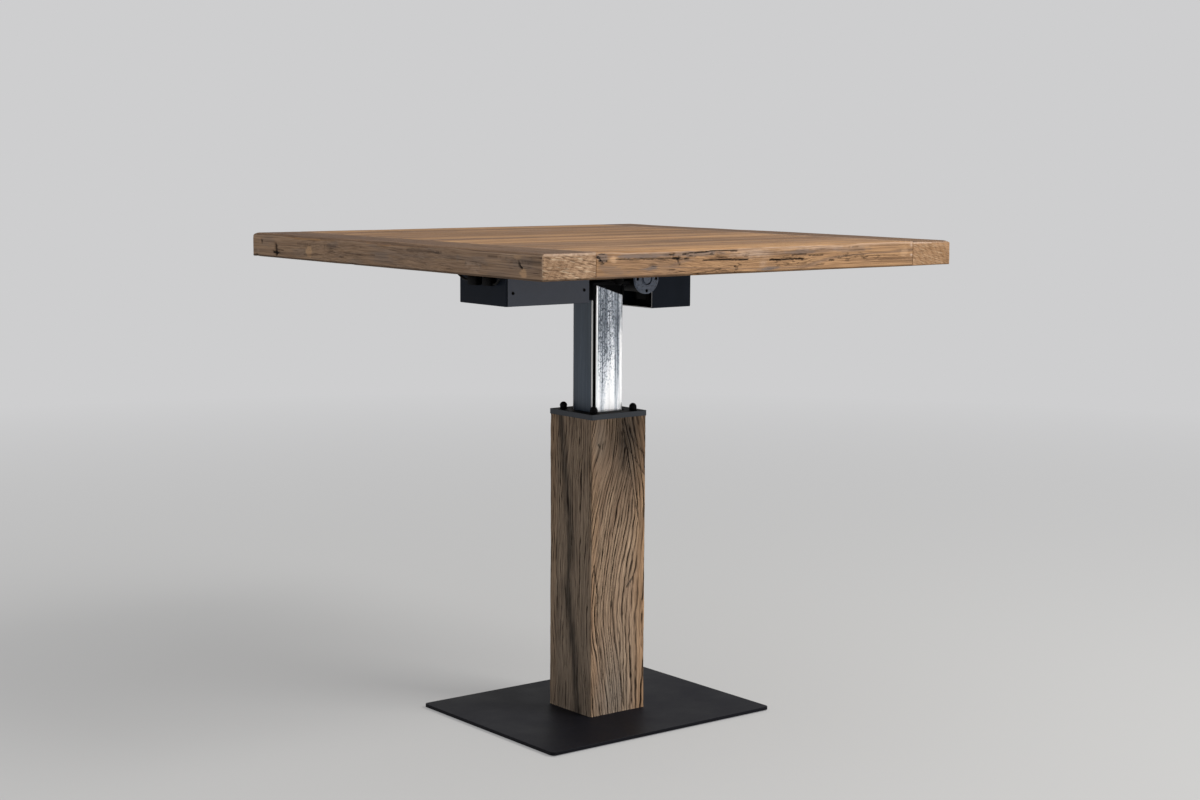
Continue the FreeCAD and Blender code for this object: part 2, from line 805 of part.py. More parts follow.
def motor_lead():
    """Lead from the control unit to the motor, behind the column."""
    x, y, z = the_motor_plug.lead_start()
    end = terminal_x - gland_length
    first, second, third = motor_lead_bends
    points = [(x, y, z), (x, y + 16.0, z), (x - 2.0, control_back - 8.0, z + 9.0),
              (x + 1.0, control_back + 8.0, lead_z - 3.0), (x + 19.0, motor_lead_y, lead_z),
              (end - first, motor_lead_y, lead_z), (end - second, motor_terminal_y, lead_z - 4.0),
              (end - third, motor_terminal_y, worm_z), (end, motor_terminal_y, worm_z)]
    return lead(points, lead_radius)


clip_left, clip_right = control_left + clip_inset, control_right - clip_inset
clip_places = [(x, switch_lead_y, -1) for x in (clip_left, clip_right, lead_turn_x - 2 * clip_inset)]
clip_places += [(x, motor_lead_y, 1) for x in (clip_left, clip_right)]
clip_places += [(switch_back - clip_inset / 2, switch_y, 1)]


def clip_block(x, y0, y1, z0, z1):
    low, high = sorted((y0, y1))
    return block(x - clip_length / 2, x + clip_length / 2, low, high, z0, z1)


def lead_clip(x, y, side):
    """Saddle over a lead, with an ear on the side away from the control unit."""
    width = lead_radius + clip_wall
    low = lead_z - width
    body = clip_block(x, y - width, y + width, low, top_under)
    lower = [edge for edge in edges_along(body, along_x) if edge.BoundBox.ZMax < low + 0.01]
    room = clip_block(x, y - lead_radius, y + lead_radius, lead_z, top_under)
    bore = disc(x - clip_length / 2, y, lead_z, lead_radius, clip_length, along_x)
    ear = clip_block(x, y + side * width, y + side * (width + clip_ear), top_under - clip_wall, top_under)
    return fuse([cut(body.makeFillet(clip_wall, lower), [room, bore]), ear, clip_pin(x, y, side)])


def clip_pin(x, y, side):
    reach = lead_radius + clip_wall + clip_ear / 2
    start = top_under - clip_wall - clip_pin_radius
    return disc(x, y + side * reach, start, clip_pin_radius, clip_pin_length)


def lead_clips():
    return [lead_clip(*place) for place in clip_places]


# ---- supply unit ----

supply_flange_places = [(x, y) for x in (supply_left + supply_screw_inset, supply_right - supply_screw_inset)
                        for y in (supply_front - supply_flange / 2, supply_back + supply_flange / 2)]


def supply_case():
    """Folded sheet trough, open towards the column and notched round the worm's barrel."""
    outer = block(supply_left, supply_right, supply_front, supply_back, supply_bottom, top_under)
    folds = [edge for edge in outer.Edges if edge.BoundBox.ZMax < supply_bottom + 0.01
             and edge.BoundBox.XMax - edge.BoundBox.XMin > 1.0]
    outer = outer.makeFillet(supply_fold, folds)
    hollow = block(supply_left, supply_right - sheet, supply_front + sheet, supply_back - sheet,
                   supply_bottom + sheet, top_under)
    flanges = [block(supply_left, supply_right, y, y + supply_flange, top_under - sheet, top_under)
               for y in (supply_front - supply_flange, supply_back)]
    notch = disc(worm_x, supply_front - supply_flange, worm_z, worm_cap_radius + notch_gap,
                 supply_back - supply_front + 2 * supply_flange, along_y)
    above = block(supply_left, worm_x + worm_cap_radius + notch_gap, supply_front - supply_flange,
                  supply_back + supply_flange, worm_z, top_under)
    mouth = block(supply_right - sheet, supply_right, supply_mid - inlet_width / 2,
                  supply_mid + inlet_width / 2, inlet_z - inlet_height / 2, inlet_z + inlet_height / 2)
    holes = [disc(x, y, top_under - sheet, wood_screw_radius, sheet) for x, y in supply_flange_places]
    return cut(fuse([outer.cut(hollow)] + flanges), [notch, above, mouth] + holes)


def case_screws():
    places = supply_flange_places + control_flange_places
    return [wood_screw(x, y, top_under - sheet) for x, y in places]


def transformer_core():
    """Laminated core with two windows, stood on the trough's floor."""
    floor = supply_bottom + sheet
    x0, x1 = core_left, core_left + core_length
    y0, y1 = supply_mid - core_width / 2, supply_mid + core_width / 2
    solid = block(x0, x1, y0, y1, floor, floor + core_height)
    windows = []
    for side in (-1, 1):
        inner, outer = supply_mid + side * core_leg, supply_mid + side * (core_width / 2 - core_leg)
        windows.append(block(x0, x1, min(inner, outer), max(inner, outer), floor + core_leg,
                             floor + core_height - core_leg))
    return cut(solid, windows)


def transformer_coil():
    floor = supply_bottom + sheet
    half = core_width / 2 - core_leg
    z0, z1 = floor + core_leg, floor + core_height - core_leg
    outer = rounded_block(core_left - coil_bulge, core_left + core_length + coil_bulge, supply_mid - half,
                          supply_mid + half, z0, z1, coil_corner)
    limb = block(core_left, core_left + core_length, supply_mid - core_leg, supply_mid + core_leg, z0, z1)
    return outer.cut(limb)


def mains_inlet():
    """Appliance inlet in the supply unit's end wall: a deep well with a flange."""
    z0, z1 = inlet_z - inlet_height / 2, inlet_z + inlet_height / 2
    y0, y1 = supply_mid - inlet_width / 2, supply_mid + inlet_width / 2
    face = supply_right + inlet_flange_thickness
    body = block(face - inlet_depth, face, y0, y1, z0, z1)
    flange = rounded_block(supply_right, face, y0 - inlet_flange, y1 + inlet_flange, z0 - inlet_flange,
                           z1 + inlet_flange, inlet_flange / 2, along_x)
    well = block(face - inlet_depth + inlet_floor, face, y0 + inlet_wall, y1 - inlet_wall, z0 + inlet_wall,
                 z1 - inlet_wall)
    return fuse([body, flange]).cut(well)


def inlet_pins():
    back = supply_right + inlet_flange_thickness - inlet_depth + inlet_floor
    low, high = inlet_z - pin_height / 2, inlet_z + pin_height / 2
    middles = [supply_mid + k * pin_pitch for k in (-1, 0, 1)]
    return [block(back, back + pin_length, y - pin_width / 2, y + pin_width / 2, low, high) for y in middles]


# ---- hand switch ----

switch_front = switch_back + switch_length
switch_bottom = top_under - switch_height
key_z = top_under - switch_height / 2
switch_screw_places = [(switch_back + switch_screw_inset,
                        switch_y + side * (switch_width / 2 - switch_screw_inset)) for side in (-1, 1)]


def key_block(centre_y, x0, x1, gap):
    half_y, half_z = key_width / 2 + gap, key_height / 2 + gap
    return rounded_block(x0, x1, centre_y - half_y, centre_y + half_y, key_z - half_z, key_z + half_z,
                         key_corner + gap, along_x)


def key_centre(side):
    return switch_y + side * key_pitch / 2


def switch_case():
    body = rounded_block(switch_back, switch_front, switch_y - switch_width / 2, switch_y + switch_width / 2,
                         switch_bottom, top_under, switch_corner)
    body = body.makeFillet(switch_corner / 2, rim_edges(body, along_z * -1))
    wells = [key_block(key_centre(side), switch_front - key_well, switch_front, key_gap) for side in (-1, 1)]
    holes = [disc(x, y, switch_bottom, wood_screw_radius, switch_height) for x, y in switch_screw_places]
    holes += [disc(x, y, switch_bottom, pan_head_radius + 0.3, switch_height - switch_screw_floor)
              for x, y in switch_screw_places]
    return cut(body, wells + holes)


def switch_screws():
    return [wood_screw(x, y, top_under - switch_screw_floor) for x, y in switch_screw_places]


def switch_key(side):
    """Sprung key: its stem's end stands off the well's floor by the travel."""
    back = switch_front - key_well + key_travel + key_gap
    key = key_block(key_centre(side), back, switch_front + key_proud, 0.0)
    return key.makeFillet(0.8, rim_edges(key, along_x))


# ---- tabletop ----

joint_left = top_left + border_width_left
joint_right = top_right - border_width_right
tongue_z0 = top_under + (top_thickness - tongue_thickness) / 2
tongue_z1 = tongue_z0 + tongue_thickness


def border_tongues():
    y0, y1 = top_front + tongue_inset, top_back - tongue_inset
    return [block(joint - tongue_depth, joint + tongue_depth, y0, y1, tongue_z0, tongue_z1)
            for joint in (joint_left, joint_right)]


def plank_tongues():
    x0, x1 = joint_left + tongue_depth, joint_right - tongue_depth
    return [block(x0, x1, y1 - tongue_depth, y1 + tongue_depth, tongue_z0, tongue_z1)
            for y0, y1 in plank_bounds()[:-1]]


def joint_vee(start, direction, length):
    """Prism that opens a small V along a joint of the upper face."""
    across = along_z.cross(direction)
    tip = start - along_z * joint_groove
    left, right = start - across * joint_groove, start + across * joint_groove
    corners = [right, left, tip, right]
    return Part.Face(Part.makePolygon(corners)).extrude(direction * length)


def tabletop_slab():
    """The whole top as one rounded slab, with its joints scored."""
    slab = rounded_block(top_left, top_right, top_front, top_back, top_under, table_height, top_corner)
    slab = slab.makeFillet(top_arris, rim_edges(slab, along_z) + rim_edges(slab, along_z * -1))
    scores = [joint_vee(Vec(joint_left, y1, table_height), along_x, joint_right - joint_left)
              for y0, y1 in plank_bounds()[:-1]]
    scores += [joint_vee(Vec(joint, top_front, table_height), along_y, top_width)
               for joint in (joint_left, joint_right)]
    pins = frame_screws() + case_screws() + switch_screws() + lug_screws()
    pins += [clip_pin(*place) for place in clip_places]
    return cut(slab, scores + pins)


def top_nodes():
    slab = tabletop_slab()
    tongues = border_tongues() + plank_tongues()
    nodes = {}
    for k, (y0, y1) in enumerate(plank_bounds(), start=1):
        piece = slab.common(block(joint_left, joint_right, y0, y1, top_under, table_height))
        nodes[f"plank_{k}"] = cut(piece, tongues)
    for side, x0, x1 in (("left", top_left, joint_left), ("right", joint_right, top_right)):
        piece = slab.common(block(x0, x1, top_front, top_back, top_under, table_height))
        nodes[f"border_plank_{side}"] = cut(piece, tongues)
    nodes["border_tongues"] = border_tongues()
    nodes["plank_tongues"] = plank_tongues()
    return nodes


def all_nodes():
    nodes = {function.__name__: function() for function in (
        floor_pads, base_plate, post, cap_plate, tie_rods, cap_nuts, guide_tube, upper_glide, push_tube,
        push_tube_foot, foot_screws, spindle_nut, lift_tube, guide_rail, lower_glide, head_bracket,
        bracket_screws, bearing_plate, spindle_bearing, spindle, gear_housing, worm_cap, worm_cap_screws,
        motor_body, motor_gland, mounting_frame, frame_screws, lug_screws, control_case, control_cover,
        control_cover_screws, circuit_board, switch_lead, motor_lead, lead_clips, supply_case, case_screws,
        transformer_core, transformer_coil, mains_inlet, inlet_pins, switch_case, switch_screws)}
    nodes["motor_plug"] = the_motor_plug.solid()
    nodes["switch_plug"] = the_switch_plug.solid()
    nodes["up_key"] = switch_key(1)
    nodes["down_key"] = switch_key(-1)
    nodes.update(top_nodes())
    return nodes


os.makedirs("parts", exist_ok=True)
for node, solids in all_nodes().items():
    shape = Part.makeCompound(solids) if isinstance(solids, list) else solids
    shape.exportStep(f"parts/{node}.step")
    print(f"{node}: {len(shape.Solids)} solids, {shape.Volume / 1000:.1f} cm3, valid {shape.isValid()}")
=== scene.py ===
import json
import math
import bpy
import bmesh
from mathutils import Matrix, Vector, noise


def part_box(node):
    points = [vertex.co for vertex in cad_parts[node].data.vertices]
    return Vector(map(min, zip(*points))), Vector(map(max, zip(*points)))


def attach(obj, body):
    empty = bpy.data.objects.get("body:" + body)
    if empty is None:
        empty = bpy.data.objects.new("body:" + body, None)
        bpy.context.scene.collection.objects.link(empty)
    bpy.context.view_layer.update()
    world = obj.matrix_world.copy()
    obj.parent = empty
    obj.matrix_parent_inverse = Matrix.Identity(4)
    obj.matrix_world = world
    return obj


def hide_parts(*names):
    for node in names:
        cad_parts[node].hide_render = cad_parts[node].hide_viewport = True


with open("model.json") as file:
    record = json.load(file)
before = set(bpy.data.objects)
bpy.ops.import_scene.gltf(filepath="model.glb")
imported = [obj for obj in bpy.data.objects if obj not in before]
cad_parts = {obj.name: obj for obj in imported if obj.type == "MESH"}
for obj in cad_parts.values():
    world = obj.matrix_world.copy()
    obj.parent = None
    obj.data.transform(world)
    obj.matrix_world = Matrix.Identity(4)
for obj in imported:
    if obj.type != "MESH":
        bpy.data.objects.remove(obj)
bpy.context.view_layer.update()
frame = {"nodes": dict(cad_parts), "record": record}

nodes = frame["nodes"]
record = frame["record"]
bodyOf = {node: body for body, members in record["behaviour"]["bodies"].items() for node in members}
slotOf = {part["node"]: part["material_slot"] for part in record["subparts"]}
millimetre = 0.001


camera = {"place": (-2.3168, -2.9676, 1.0366), "yaw": 51.969, "pitch": -6.956, "roll": 0.327, "lens": 62.46}


def placeCamera():
    yaw, pitch, roll = (math.radians(camera[turn]) for turn in ("yaw", "pitch", "roll"))
    ahead = Vector((math.cos(pitch) * math.cos(yaw), math.cos(pitch) * math.sin(yaw), math.sin(pitch)))
    right = Vector((math.sin(yaw), -math.cos(yaw), 0))
    up = right.cross(ahead)
    rolledRight = right * math.cos(roll) + up * math.sin(roll)
    rolledUp = up * math.cos(roll) - right * math.sin(roll)
    data = bpy.data.cameras.new("camera")
    data.lens = camera["lens"]
    data.sensor_width = 36
    data.clip_end = 200
    eye = bpy.data.objects.new("camera", data)
    bpy.context.scene.collection.objects.link(eye)
    turn = Matrix((rolledRight, rolledUp, -ahead)).transposed().to_4x4()
    eye.matrix_world = Matrix.Translation(camera["place"]) @ turn
    bpy.context.scene.camera = eye


placeCamera()
print("camera placed")


# 0 to 255 as on a colour picker, to the linear values that the nodes take.
def tint(red, green, blue):
    return tuple(((v / 255 + 0.055) / 1.055) ** 2.4 if v > 10 else v / 255 / 12.92 for v in (red, green, blue))


# A Principled material that is built up node by node.
class Finish:
    def __init__(self, name, colour=(0.5, 0.5, 0.5), roughness=0.5, metallic=0.0, specular=0.5, grain=False):
        self.material = bpy.data.materials.new(name)
        self.material.use_nodes = True
        self.tree = self.material.node_tree
        self.shader = self.tree.nodes["Principled BSDF"]
        plain = {"Base Color": (*colour, 1), "Roughness": roughness, "Metallic": metallic,
                 "Specular IOR Level": specular}
        for socket, value in plain.items():
            self.shader.inputs[socket].default_value = value
        if grain:
            self.coords = self.attribute("grain", "Vector")
        else:
            self.coords = self.tree.nodes.new("ShaderNodeTexCoord").outputs["Object"]

    def node(self, kind, inputs, output=0, **settings):
        made = self.tree.nodes.new(kind)
        for name, value in settings.items():
            setattr(made, name, value)
        for key, value in inputs.items():
            if isinstance(value, bpy.types.NodeSocket):
                self.tree.links.new(value, made.inputs[key])
            else:
                made.inputs[key].default_value = value
        return made.outputs[output]

    def attribute(self, name, output="Fac"):
        return self.node("ShaderNodeAttribute", {}, output, attribute_name=name)

    def attributes(self, names):
        return [self.attribute(name) for name in names]

    def along(self, axis):
        return self.node("ShaderNodeSeparateXYZ", {"Vector": self.coords}, axis)

    def stretched(self, scale, shift=(0, 0, 0)):
        return self.node("ShaderNodeMapping", {"Vector": self.coords, "Scale": scale, "Location": shift})

    # Noise of a scale along each axis, a detail and a roughness.
    def noise(self, scale, detail=4.0, rough=0.5, distortion=0.0, shift=(0, 0, 0)):
        return self.node("ShaderNodeTexNoise", {"Vector": self.stretched(scale, shift), "Scale": 1.0,
                         "Detail": detail, "Roughness": rough, "Distortion": distortion}, "Fac")

    def cells(self, scale, feature="F1"):
        return self.node("ShaderNodeTexVoronoi", {"Vector": self.stretched(scale), "Scale": 1.0},
                         "Distance", feature=feature)

    def wave(self, scale, direction, distortion=0.0, detail=2.0, kind="BANDS", shift=(0, 0, 0)):
        settings = {"wave_type": kind, kind.lower() + "_direction": direction}
        return self.node("ShaderNodeTexWave", {"Vector": self.stretched(scale, shift), "Scale": 1.0,
                         "Distortion": distortion, "Detail": detail}, "Fac", **settings)

    def levels(self, value, low, high, start=0.0, end=1.0):
        return self.node("ShaderNodeMapRange", {"Value": value, "From Min": low, "From Max": high,
                         "To Min": start, "To Max": end})

    def math(self, operation, first, second=0.0):
        return self.node("ShaderNodeMath", {0: first, 1: second}, operation=operation)

    def times(self, first, second):
        return self.math("MULTIPLY", first, second)

    def plus(self, first, second):
        return self.math("ADD", first, second)

    def minus(self, first, second):
        return self.math("SUBTRACT", first, second)

    def most(self, first, second):
        return self.math("MAXIMUM", first, second)

    # How far a value lies from a middle.
    def away(self, value, middle=0.5):
        return self.math("ABSOLUTE", self.minus(value, middle))

    # A noise about 0.5 as a swing either side of 0.
    def swing(self, value, reach):
        return self.times(self.minus(value, 0.5), reach)

    # 1 along the line where a noise crosses its middle, 0 further off.
    def ridge(self, value, width):
        return self.levels(self.away(value), 0.0, width, 1.0, 0.0)

    def mix(self, factor, first, second):
        first, second = ((*shade, 1) if isinstance(shade, tuple) else shade for shade in (first, second))
        return self.node("ShaderNodeMix", {0: factor, 6: first, 7: second}, 2, data_type="RGBA")

    # Shades of a palette laid over a colour in turn, each by its amount.
    def coats(self, colour, palette, rows):
        for amount, shade in rows:
            colour = self.mix(amount, colour, palette[shade])
        return colour

    def ramp(self, value, stops):
        made = self.tree.nodes.new("ShaderNodeValToRGB")
        self.tree.links.new(value, made.inputs[0])
        elements = made.color_ramp.elements
        while len(elements) < len(stops):
            elements.new(0.5)
        for element, (place, colour) in zip(elements, stops):
            element.position = place
            element.color = (*colour, 1)
        return made.outputs[0]

    def bump(self, height, depth, below=None):
        inputs = {"Height": height, "Distance": depth, "Strength": 1.0}
        if below is not None:
            inputs["Normal"] = below
        return self.node("ShaderNodeBump", inputs)

    def wire(self, **sockets):
        names = {"colour": "Base Color", "roughness": "Roughness", "normal": "Normal", "metallic": "Metallic"}
        for key, value in sockets.items():
            self.tree.links.new(value, self.shader.inputs[names[key]])
        return self.material


def tints(**shades):
    return {name: tint(*shade) for name, shade in shades.items()}


boardMasks = ("crack", "grey", "pale", "plug", "speckle", "tone", "calm")
postMasks = ("phase", "strength", "dark", "warm", "grey")
topOak = tints(light=(192, 152, 112), mid=(168, 130, 95), deep=(126, 95, 70), grey=(114, 101, 94), dark=(70, 50, 38),
               pale=(202, 175, 154), plug=(206, 168, 132), brown=(92, 74, 62), void=(22, 15, 12),
               darkBand=(108, 82, 64), brightBand=(222, 172, 120), vein=(112, 98, 92))
endOak = topOak | tints(ring=(112, 84, 60), saw=(84, 62, 46), stroke=(222, 198, 168), pore=(84, 62, 44))
postOak = tints(ridge=(200, 171, 143), deep=(160, 131, 107), groove=(34, 25, 20), dark=(66, 63, 59),
                warm=(200, 158, 118), grey=(178, 166, 152))


# Reclaimed oak, brushed and waxed: long streaks, thin growth lines, checks and grey stains.
def oakTopFinish():
    f = Finish("topOak", roughness=0.7, specular=0.12, grain=True)
    streaks = f.noise((1.2, 30, 30), 6, 0.65)
    lines = f.noise((2.2, 100, 100), 5, 0.62, shift=(2, 5, 1))
    fibres = f.noise((16, 640, 640), 2)
    growth = f.ridge(f.noise((1.1, 74, 74), 3, distortion=0.3), 0.030)
    fineGrowth = f.ridge(f.noise((2.2, 210, 210), 2, distortion=0.2, shift=(3, 1, 7)), 0.05)
    checks = f.levels(f.noise((5.0, 210, 210), 3, shift=(9, 4, 2)), 0.64, 0.70)
    dots = f.levels(f.noise((90, 330, 330), 2, shift=(1, 8, 3)), 0.56, 0.62)
    stains = f.levels(f.noise((2.4, 12, 12), 5, 0.6, shift=(5, 8, 1)), 0.50, 0.70)
    bands = f.noise((0.7, 13, 13), 3, shift=(4, 4, 4))
    veins = f.ridge(f.noise((0.8, 22, 22), 2, shift=(6, 2, 2)), 0.020)
    crack, grey, pale, plug, speckle, tone, calm = f.attributes(boardMasks)
    loud = f.levels(calm, 0.0, 1.0, 1.0, 0.35)
    pits = f.times(dots, speckle)
    colour = f.ramp(f.plus(f.times(streaks, 0.62), f.times(lines, 0.38)),
                    [(0.37, topOak["deep"]), (0.49, topOak["mid"]), (0.63, topOak["light"])])
    colour = f.coats(colour, topOak, [
        (f.times(f.levels(bands, 0.50, 0.60, 0.0, 0.34), loud), "darkBand"),
        (f.times(f.levels(bands, 0.48, 0.39, 0.0, 0.40), loud), "brightBand"),
        (f.times(veins, 0.5), "vein"),
        (f.levels(fibres, 0.36, 0.62, 0.30, 0.0), "dark"),
        (f.times(fineGrowth, 0.22), "dark"),
        (f.times(growth, 0.30), "dark"),
        (f.times(stains, 0.38), "grey"),
        (f.times(tone, 0.70), "brown"),
        (f.times(grey, f.levels(lines, 0.3, 0.6, 0.7, 1.0)), "grey"),
        (f.times(pale, f.levels(fibres, 0.35, 0.6, 0.4, 1.0)), "pale"),
        (plug, "plug"),
        (f.times(checks, f.levels(grey, 0.1, 0.5, 0.62, 0.25)), "dark"),
        (pits, "void"),
        (crack, "void"),
    ])
    normal = f.bump(fibres, 0.00035)
    normal = f.bump(f.minus(lines, f.most(growth, fineGrowth)), 0.0005, normal)
    normal = f.bump(f.minus(1.0, f.most(checks, pits)), 0.0012, normal)
    return f.wire(colour=colour, normal=normal)


# Sawn end of a border plank: growth rings about a pith below, crossed by coarse slanting saw strokes.
def endGrainFinish(name, pith, slant, contrast, shades):
    f = Finish(name, roughness=0.75, specular=0.1, grain=True)
    flat = f.coords
    rings = f.wave((0.0, 30, 30), "X", distortion=3.0, detail=3, kind="RINGS", shift=(0, -30 * pith[0], -30 * pith[1]))
    f.coords = f.node("ShaderNodeMapping", {"Vector": flat, "Rotation": (math.radians(slant), 0, 0)})
    saw = f.noise((0.0, 60, 420))
    strokes = f.noise((0.0, 45, 520), 2, shift=(0, 3, 5))
    f.coords = flat
    pores = f.cells((1.0, 520, 520))
    patches = f.noise((1.0, 40, 40), 5, 0.6)
    crack, grey, pale = f.attributes(boardMasks[:3])
    colour = f.coats(f.ramp(patches, [(0.34, tint(*shades[0])), (0.64, tint(*shades[1]))]), endOak, [
        (f.levels(rings, 0.50, 0.95, 0.0, 0.28), "ring"),
        (f.levels(saw, 0.50, 0.62, 0.0, contrast), "saw"),
        (f.levels(strokes, 0.56, 0.66, 0.0, contrast * 0.8), "stroke"),
        (f.levels(pores, 0.0, 0.30, 0.22, 0.0), "pore"),
        (grey, "grey"),
        (pale, "pale"),
        (crack, "void"),
    ])
    return f.wire(colour=colour, normal=f.bump(pores, 0.0003, f.bump(f.minus(1.0, saw), 0.0013)))


# Weathered beam: deep dark furrows along the grain lines, worn ridges, a dark band and warm arrises.
def postOakFinish():
    f = Finish("postOak", roughness=0.75, specular=0.12, grain=True)
    patches = f.noise((3.5, 34, 34), 6, 0.62)
    fibres = f.noise((26, 800, 800), 3, 0.55)
    lines = f.noise((9, 330, 330), 3, 0.6)
    checks = f.levels(f.noise((12, 420, 420), 2, shift=(4, 2, 6)), 0.60, 0.68)
    phase, strength, dark, warm, grey = f.attributes(postMasks)
    wander = f.swing(f.noise((34, 150, 150), 3, shift=(7, 7, 7)), 0.42)
    offLine = f.away(f.math("FRACT", f.plus(phase, wander)))
    breaks = f.levels(f.noise((24, 170, 170), 3, shift=(2, 9, 4)), 0.40, 0.56, 0.30, 1.25)
    furrow = f.times(f.times(f.levels(offLine, 0.06, 0.22, 1.0, 0.0), strength), breaks)
    offFine = f.away(f.math("FRACT", f.plus(f.times(phase, 2.7), f.times(lines, 1.2))))
    fine = f.times(f.levels(offFine, 0.02, 0.2, 1.0, 0.0), f.levels(patches, 0.35, 0.6, 0.25, 0.65))
    colour = f.coats(f.ramp(patches, [(0.34, postOak["deep"]), (0.62, postOak["ridge"])]), postOak, [
        (f.times(warm, 0.75), "warm"),
        (f.times(grey, 0.7), "grey"),
        (f.times(dark, f.levels(lines, 0.36, 0.60, 1.0, 0.82)), "dark"),
        (f.levels(fibres, 0.36, 0.62, 0.30, 0.0), "groove"),
        (f.levels(lines, 0.40, 0.62, 0.26, 0.0), "groove"),
        (f.times(fine, 0.5), "groove"),
        (f.times(checks, 0.35), "groove"),
        (f.math("MINIMUM", furrow, 0.97), "groove"),
    ])
    normal = f.bump(fibres, 0.0005)
    normal = f.bump(f.minus(1.0, f.most(f.most(fine, checks), furrow)), 0.0011, normal)
    return f.wire(colour=colour, normal=normal, roughness=f.levels(patches, 0.3, 0.7, 0.68, 0.82))


def plainWoodFinish():
    f = Finish("tongueWood", roughness=0.7, specular=0.25)
    lines = f.noise((18, 260, 260))
    return f.wire(colour=f.ramp(lines, [(0.3, tint(150, 118, 84)), (0.7, tint(196, 164, 124))]),
                  normal=f.bump(lines, 0.0002))


# Waxed black steel sheet with faint clouds, rub marks and specks.
def blackenedSteelFinish():
    f = Finish("blackenedSteel", specular=0.08)
    clouds = f.noise((7, 7, 7), 6, 0.62)
    rubs = f.noise((3, 60, 12), rough=0.7, distortion=0.6)
    specks = f.levels(f.cells((90, 90, 90)), 0.0, 0.07, 1.0, 0.0)
    colour = f.ramp(clouds, [(0.30, tint(14, 14, 18)), (0.70, tint(24, 24, 30))])
    colour = f.mix(f.levels(rubs, 0.60, 0.80, 0.0, 0.26), colour, tint(50, 50, 58))
    colour = f.mix(f.times(specks, 0.3), colour, tint(104, 100, 96))
    normal = f.bump(f.noise((260, 260, 260), 3), 0.00005, f.bump(clouds, 0.0006))
    return f.wire(colour=colour, normal=normal, roughness=f.levels(clouds, 0.3, 0.7, 0.46, 0.62))


# Drawn tube with dark blue-grey paint, the blue partly a painted reflection; a painted highlight along the side half
# of each rounded corner, and painted shade on the front face; in metres.
tubePaintedLight = {"middle": 0.00225, "starts": (0.0268, 0.0271), "ends": (0.0288, 0.0291), "side": (0.0332, 0.0334),
            "front": (-0.0266, -0.0269), "ragged": 0.0008}


def tubePaintFinish():
    f = Finish("tubePaint", metallic=0.15, specular=0.5)
    draw = f.noise((420, 420, 5), rough=0.6)
    clouds = f.noise((34, 34, 7), 5, 0.6)
    side, depth = f.along("X"), f.along("Y")
    away = f.away(depth, tubePaintedLight["middle"])
    begins = f.levels(f.plus(away, f.times(draw, tubePaintedLight["ragged"])), *tubePaintedLight["starts"])
    ends = f.levels(away, *tubePaintedLight["ends"], 1.0, 0.0)
    # Painted highlight: the side half of each rounded corner turns bright white.
    worn = f.times(f.times(begins, ends), f.levels(f.math("ABSOLUTE", side), *tubePaintedLight["side"]))
    colour = f.ramp(clouds, [(0.3, tint(45, 59, 74)), (0.7, tint(67, 82, 99))])
    colour = f.mix(f.levels(draw, 0.5, 0.8, 0.0, 0.4), colour, tint(112, 122, 134))
    # Painted shade: the front face beside the rail goes near-black.
    colour = f.mix(f.levels(depth, *tubePaintedLight["front"]), colour, tint(10, 11, 14))
    colour = f.mix(worn, colour, tint(255, 255, 255))
    return f.wire(colour=colour, normal=f.bump(draw, 0.00008), roughness=f.levels(clouds, 0.3, 0.7, 0.30, 0.44))


# Galvanised strip: half its width, the height below which a painted reflection turns it bright, its front edge behind
# which painted shade darkens the sides, and its shine across.
strip = {"half": 0.03025, "turns": (0.80, 0.66), "front": (-0.0314, -0.0309),
         "shine": ((0.0, 0.34), (0.10, 0.46), (0.20, 0.36), (0.30, 0.36), (0.43, 0.59), (0.62, 0.55), (0.74, 0.38),
                   (1.0, 0.44))}


# Upright bright and dull streaks with dark flecks; a painted reflection whitens it towards the foot, painted
# highlights whiten the rounded edges, and painted shade darkens its sides.
def zincFinish():
    f = Finish("zinc", specular=0.6)
    across, depth, height = f.levels(f.along("X"), -strip["half"], strip["half"]), f.along("Y"), f.along("Z")
    streaks = f.noise((420, 420, 6), 5, 0.7)
    bands = f.noise((170, 170, 2.5), 3)
    ragged = f.noise((130, 130, 22), 5, 0.65)
    flecks = f.noise((390, 390, 290), 3, 0.7)
    low = f.levels(f.plus(height, f.times(ragged, 0.16)), *strip["turns"])
    swayed = f.plus(across, f.swing(bands, 0.12))
    profile = f.ramp(swayed, [(place, (shine,) * 3) for place, shine in strip["shine"]])
    # Painted reflection: brighter below the height where it turns.
    tonal = f.times(profile, f.levels(low, 0.0, 1.0, 0.56, 1.34))
    tonal = f.plus(f.plus(tonal, f.swing(streaks, 1.35)), f.swing(bands, 0.35))
    middle = f.levels(f.away(across, 0.36), 0.20, 0.38, 1.0, 0.35)
    spots = f.times(f.levels(flecks, 0.50, 0.60), f.times(middle, f.levels(low, 0.3, 1.0, 1.0, 0.2)))
    colour = f.ramp(f.minus(tonal, f.times(spots, 0.38)),
                    [(0.02, tint(58, 64, 72)), (0.24, tint(112, 119, 128)), (0.44, tint(206, 211, 218)),
                     (0.60, tint(255, 255, 255))])
    # Painted highlights along the rounded left and right edges, the right one mostly low down.
    left = f.levels(f.plus(across, f.times(streaks, 0.03)), 0.085, 0.065)
    right = f.times(f.levels(swayed, 0.87, 0.89), f.levels(low, 0.0, 0.40, 0.15, 1.0))
    scratch = f.ridge(f.plus(across, f.swing(ragged, 0.02)), 0.012)
    colour = f.mix(f.times(f.most(left, right), 0.92), colour, tint(255, 255, 255))
    colour = f.mix(f.times(scratch, 0.5), colour, tint(70, 76, 84))
    # Painted shade: the sides behind the front face go near-black.
    colour = f.mix(f.levels(depth, *strip["front"]), colour, tint(16, 18, 22))
    return f.wire(colour=colour, normal=f.bump(flecks, 0.00014, f.bump(streaks, 0.00010)),
                  metallic=f.levels(low, 0.0, 1.0, 0.7, 0.85), roughness=f.levels(ragged, 0.3, 0.7, 0.38, 0.28))


